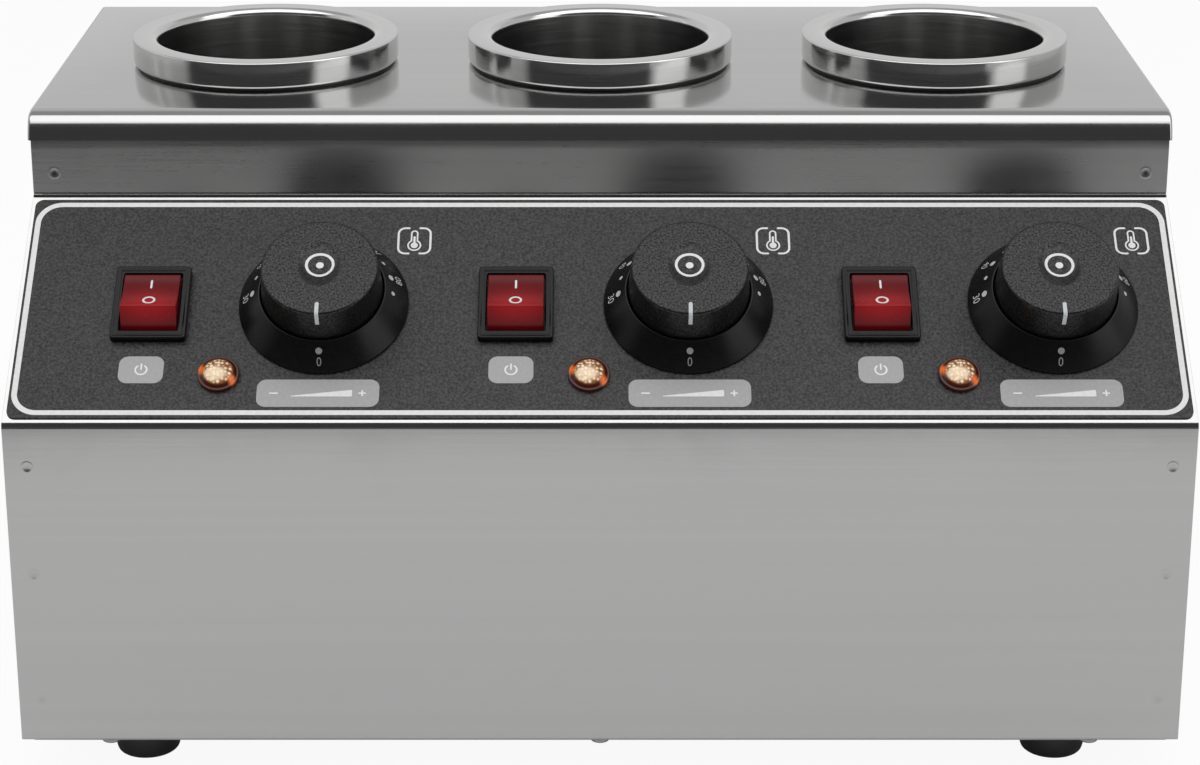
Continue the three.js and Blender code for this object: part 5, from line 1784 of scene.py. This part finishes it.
# Supply
def gland_mesh(flange, reach):
    """Cable gland with a round flange and a fluted cap. Z runs out of the back."""
    bore, thread, cap, nose = 4.2 * MM, 7.6 * MM, 9 * MM, 6.5 * MM
    tail, seat, step, shoulder = -11 * MM, 0.3 * MM, 2.8 * MM, 8.8 * MM
    profile = rounded([
        (bore, tail), (thread, tail, 0.5 * MM), (thread, seat), (flange, seat, 0.2 * MM),
        (flange, step, 0.6 * MM), (cap, step, 0.4 * MM), (cap, shoulder, 1.5 * MM),
        (nose, reach, 1.2 * MM), (bore, reach, 0.4 * MM),
    ], steps=5, closed=True)
    shape = bmesh.new()
    steps, flutes, flute_depth = 144, 12, 0.35 * MM
    rings = []
    for radius, height in profile:
        fluted = step + 0.9 * MM < height < reach - 1.6 * MM and radius > bore
        ring = []
        for index in range(steps):
            heading = 2 * math.pi * index / steps
            wave = (0.5 - 0.5 * math.cos(flutes * heading)) ** 2 if fluted else 0
            ring.append((*polar(radius - flute_depth * wave, heading), height))
        rings.append(add_ring(shape, ring))
    for lower, upper in zip(rings, rings[1:] + rings[:1]):
        join_rings(shape, lower, upper)
    return finished_mesh("gland", shape, 50)


class WARMER_OT_supply(bpy.types.Operator):
    """Builds the cable gland and dresses the supply parts behind it"""
    bl_idname = "warmer.supply"
    bl_label = "Supply"

    def execute(self, context):
        centre = middle("cable_gland")
        place = axes_at(Vector((centre.x, BACK, centre.z)), Vector((1, 0, 0)), Vector((0, 0, -1)),
                        Vector((0, 1, 0)))
        reach = high("cable_gland").y - BACK
        mesh = gland_mesh(half_width("cable_gland"), reach)
        add_piece("gland_body", mesh, place, "black_plastic", ["cable_gland"])
        dress_node("gland_locknut", "black_plastic")
        dress_node("terminal_block", "ceramic")
        dress_node("wiring_loom", "sleeve")
        return {"FINISHED"}


# Stage
def flat_card(name, corners, material):
    """A plane of the studio, given by its four corners."""
    shape = bmesh.new()
    shape.faces.new(add_ring(shape, corners))
    mesh = bpy.data.meshes.new(name)
    shape.to_mesh(mesh)
    shape.free()
    mesh.materials.append(material)
    card = bpy.data.objects.new(name, mesh)
    link(card)
    return card


def reflector_card(name, corners, strength):
    """A plain card, just over the floor, that only shows in reflections."""
    material = bpy.data.materials.new(name)
    material.use_nodes = True
    tree = material.node_tree
    tree.nodes.clear()
    glow = add_node(tree, "Emission", {"Color": (strength, strength, strength, 1)})
    feed(tree, glow, add_node(tree, "OutputMaterial").inputs["Surface"])
    card = flat_card(name, [(x, y, 2 * MM) for x, y in corners], material)
    card.visible_camera = False
    card.visible_diffuse = False
    card.visible_shadow = False
    card.visible_volume_scatter = False


# Brightness of the studio's walls by direction, in degrees to the right of the front
WALLS = (
    (-180, 0.78), (-140, 0.78), (-118, 0.75), (-108, 0.8), (-105, 1.1), (-101, 0.75), (-96, 0.7),
    (-90, 0.9), (-84, 0.7), (-70, 0.6), (-62, 0.07), (43, 0.07), (52, 1.6), (77, 1.6), (84, 0.65),
    (134, 0.65), (142, 0.78), (180, 0.78),
)
WALL_PEAK = max(level for place, level in WALLS)

# Strips of darker floor in front of the object that only show in the metal: left, right, brightness
FLOOR_CARDS = (
    ("dark_floor_left", -1.6, -0.21, 0.09),
    ("dark_floor_middle", -0.21, 0.1, 0.2),
    ("dark_floor_right", 0.1, 1.6, 0.34),
)
FLOOR_CARD_NEAR = -0.56
FLOOR_CARD_FAR = -0.86


def wall_grey(level):
    """A wall's brightness as a grey of the ramp, whose white is the brightest wall."""
    grey = level / WALL_PEAK
    return grey, grey, grey, 1


def studio_walls(tree, ceiling):
    """Brightness of the studio by direction: walls all round under an even ceiling."""
    parts = add_node(tree, "SeparateXYZ", {0: add_node(tree, "TexCoord").outputs["Generated"]})
    x, y, z = parts.outputs
    heading = add_math(tree, "ARCTAN2", x, add_math(tree, "MULTIPLY", y, -1.0))
    turn = add_math(tree, "ADD", add_math(tree, "DIVIDE", heading, 2 * math.pi), 0.5)
    ramp = add_node(tree, "ValToRGB")
    stops = ramp.color_ramp.elements
    for heading_at, level in WALLS[1:-1]:
        stops.new((heading_at + 180) / 360).color = wall_grey(level)
    stops[0].color = wall_grey(WALLS[0][1])
    stops[-1].color = wall_grey(WALLS[-1][1])
    feed(tree, turn, ramp.inputs[0])
    walls = add_math(tree, "MULTIPLY", ramp, WALL_PEAK)
    lift = add_math(tree, "MULTIPLY", add_math(tree, "MAXIMUM", y, 0.0), 0.2)
    rise = add_math(tree, "ADD", z, lift)
    above = add_node(tree, "MapRange", {"From Min": 0.72, "From Max": 0.78, "Value": rise})
    mix = add_node(tree, "Mix", {"Factor": above, "A": walls, "B": ceiling}, data_type="FLOAT")
    return mix.outputs["Result"]


def build_world(sizes):
    """White where the camera looks, studio walls in reflections and an even fill for the light."""
    world = bpy.data.worlds.new("studio")
    bpy.context.scene.world = world
    world.use_nodes = True
    tree = world.node_tree
    tree.nodes.clear()
    path = add_node(tree, "LightPath").outputs
    fill = add_node(tree, "Background", {"Color": (1, 1, 1, 1), "Strength": sizes.fill})
    walls = add_node(tree, "Background", {"Color": (1, 1, 1, 1)})
    white = add_node(tree, "Background", {"Color": (1, 1, 1, 1), "Strength": 1.0})
    feed(tree, studio_walls(tree, sizes.ceiling), walls.inputs["Strength"])
    reflected = add_math(tree, "MAXIMUM", path["Is Glossy Ray"], path["Is Transmission Ray"])
    shader = fill
    for choice, other in ((reflected, walls), (path["Is Camera Ray"], white)):
        shader = add_node(tree, "MixShader", {0: choice, 1: shader, 2: other})
    feed(tree, shader, add_node(tree, "OutputWorld").inputs["Surface"])
    world.cycles.sampling_method = "NONE"


def build_floor(sizes):
    """Plain pale floor that the camera sees as white, with the object's shadow."""
    tree, sockets = new_material("floor", Roughness=0.7)
    noise = add_node(tree, "TexNoise", {"Scale": 3.0})
    tinted(tree, (0.88, 0.88, 0.88), noise.outputs["Fac"], 0.99, 1.01, sockets["Base Color"])
    glow = add_node(tree, "Emission", {"Color": (1, 1, 1, 1), "Strength": 1.0})
    camera = add_node(tree, "LightPath").outputs["Is Camera Ray"]
    white = add_math(tree, "MULTIPLY", camera, sizes.floor_white)
    mix = add_node(tree, "MixShader", {0: white, 1: tree.nodes["Principled BSDF"], 2: glow})
    feed(tree, mix, tree.nodes["Material Output"].inputs["Surface"])
    reach = 6
    corners = [(-reach, -reach, 0), (reach, -reach, 0), (reach, reach, 0), (-reach, reach, 0)]
    flat_card("floor", corners, finish("floor"))


def add_lamp(name, place, aim, width, depth, power):
    light = bpy.data.lights.new(name, "AREA")
    light.shape = "RECTANGLE"
    light.size = width
    light.size_y = depth
    light.energy = power
    lamp = bpy.data.objects.new(name, light)
    link(lamp)
    lamp.location = place
    lamp.rotation_euler = (Vector(aim) - Vector(place)).to_track_quat("-Z", "Y").to_euler()
    lamp.visible_camera = False
    return lamp


def build_camera(sizes):
    camera = bpy.data.objects.new("camera", bpy.data.cameras.new("camera"))
    link(camera)
    camera.location = (0, -sizes.camera_back, sizes.camera_up)
    camera.rotation_euler = (RIGHT_ANGLE - sizes.camera_pitch, 0, 0)
    camera.data.lens = sizes.lens
    camera.data.sensor_width = sizes.sensor
    camera.data.shift_y = sizes.shift
    bpy.context.scene.camera = camera


class WARMER_OT_stage(bpy.types.Operator):
    """Builds the floor, the lamps, the reflection cards and the camera"""
    bl_idname = "warmer.stage"
    bl_label = "Stage"

    def execute(self, context):
        sizes = context.scene.warmer_stage
        context.scene.view_settings.view_transform = "Standard"
        build_world(sizes)
        build_floor(sizes)
        build_camera(sizes)
        add_lamp("softbox", (0, -0.5, 1.25), (0, -0.5, 0), 2.4, 1.2, sizes.softbox_power)
        front = add_lamp("front_fill", (0, -2.4, 0.9), (0, 0, 0.1), 1.8, 1.0, sizes.front_power)
        front.visible_glossy = False
        near, far = FLOOR_CARD_NEAR, FLOOR_CARD_FAR
        for name, left, right, level in FLOOR_CARDS:
            reflector_card(name, [(left, far), (right, far), (right, near), (left, near)], level)
        reflector_card("dark_floor_far", [(-8, -4), (3.8, -4), (0.82, far), (-1.8, far)], 0.07)
        return {"FINISHED"}


class WARMER_PT_sidebar(bpy.types.Panel):
    """Lists the steps that dress the warmer"""
    bl_idname = "WARMER_PT_sidebar"
    bl_label = "Sauce warmer"
    bl_space_type = "VIEW_3D"
    bl_region_type = "UI"
    bl_category = "Sauce warmer"

    def draw(self, context):
        for operator in OPERATORS:
            self.layout.operator(operator.bl_idname)


SETTINGS = {
    "warmer_cabinet": CabinetSizes,
    "warmer_wells": WellSizes,
    "warmer_panel": PanelSizes,
    "warmer_switch": SwitchSizes,
    "warmer_lamp": LampSizes,
    "warmer_dial": DialSizes,
    "warmer_knob": KnobSizes,
    "warmer_fasteners": FastenerSizes,
    "warmer_stage": StageSizes,
    "warmer_finishes": Finishes,
}
OPERATORS = (
    WARMER_OT_stage,
    WARMER_OT_cabinet,
    WARMER_OT_wells,
    WARMER_OT_overlay,
    WARMER_OT_switches,
    WARMER_OT_lamps,
    WARMER_OT_dials,
    WARMER_OT_knobs,
    WARMER_OT_feet,
    WARMER_OT_screws,
    WARMER_OT_supply,
)


def register():
    for group in SETTINGS.values():
        bpy.utils.register_class(group)
    for name, group in SETTINGS.items():
        setattr(bpy.types.Scene, name, bpy.props.PointerProperty(type=group))
    for operator in OPERATORS:
        bpy.utils.register_class(operator)
    bpy.utils.register_class(WARMER_PT_sidebar)


def unregister():
    bpy.utils.unregister_class(WARMER_PT_sidebar)
    for operator in reversed(OPERATORS):
        bpy.utils.unregister_class(operator)
    for name in SETTINGS:
        delattr(bpy.types.Scene, name)
    for group in reversed(SETTINGS.values()):
        bpy.utils.unregister_class(group)


def clear_start_scene():
    """Removes whatever the scene held before the frame."""
    kept = {*frame["nodes"].values(), *frame["bodies"].values()}
    for piece in list(bpy.data.objects):
        if piece not in kept:
            bpy.data.objects.remove(piece)


def main():
    clear_start_scene()
    register()
    build_materials()
    for operator in OPERATORS:
        getattr(bpy.ops.warmer, operator.bl_idname.split(".")[1])()


if __name__ == "__main__":
    main()
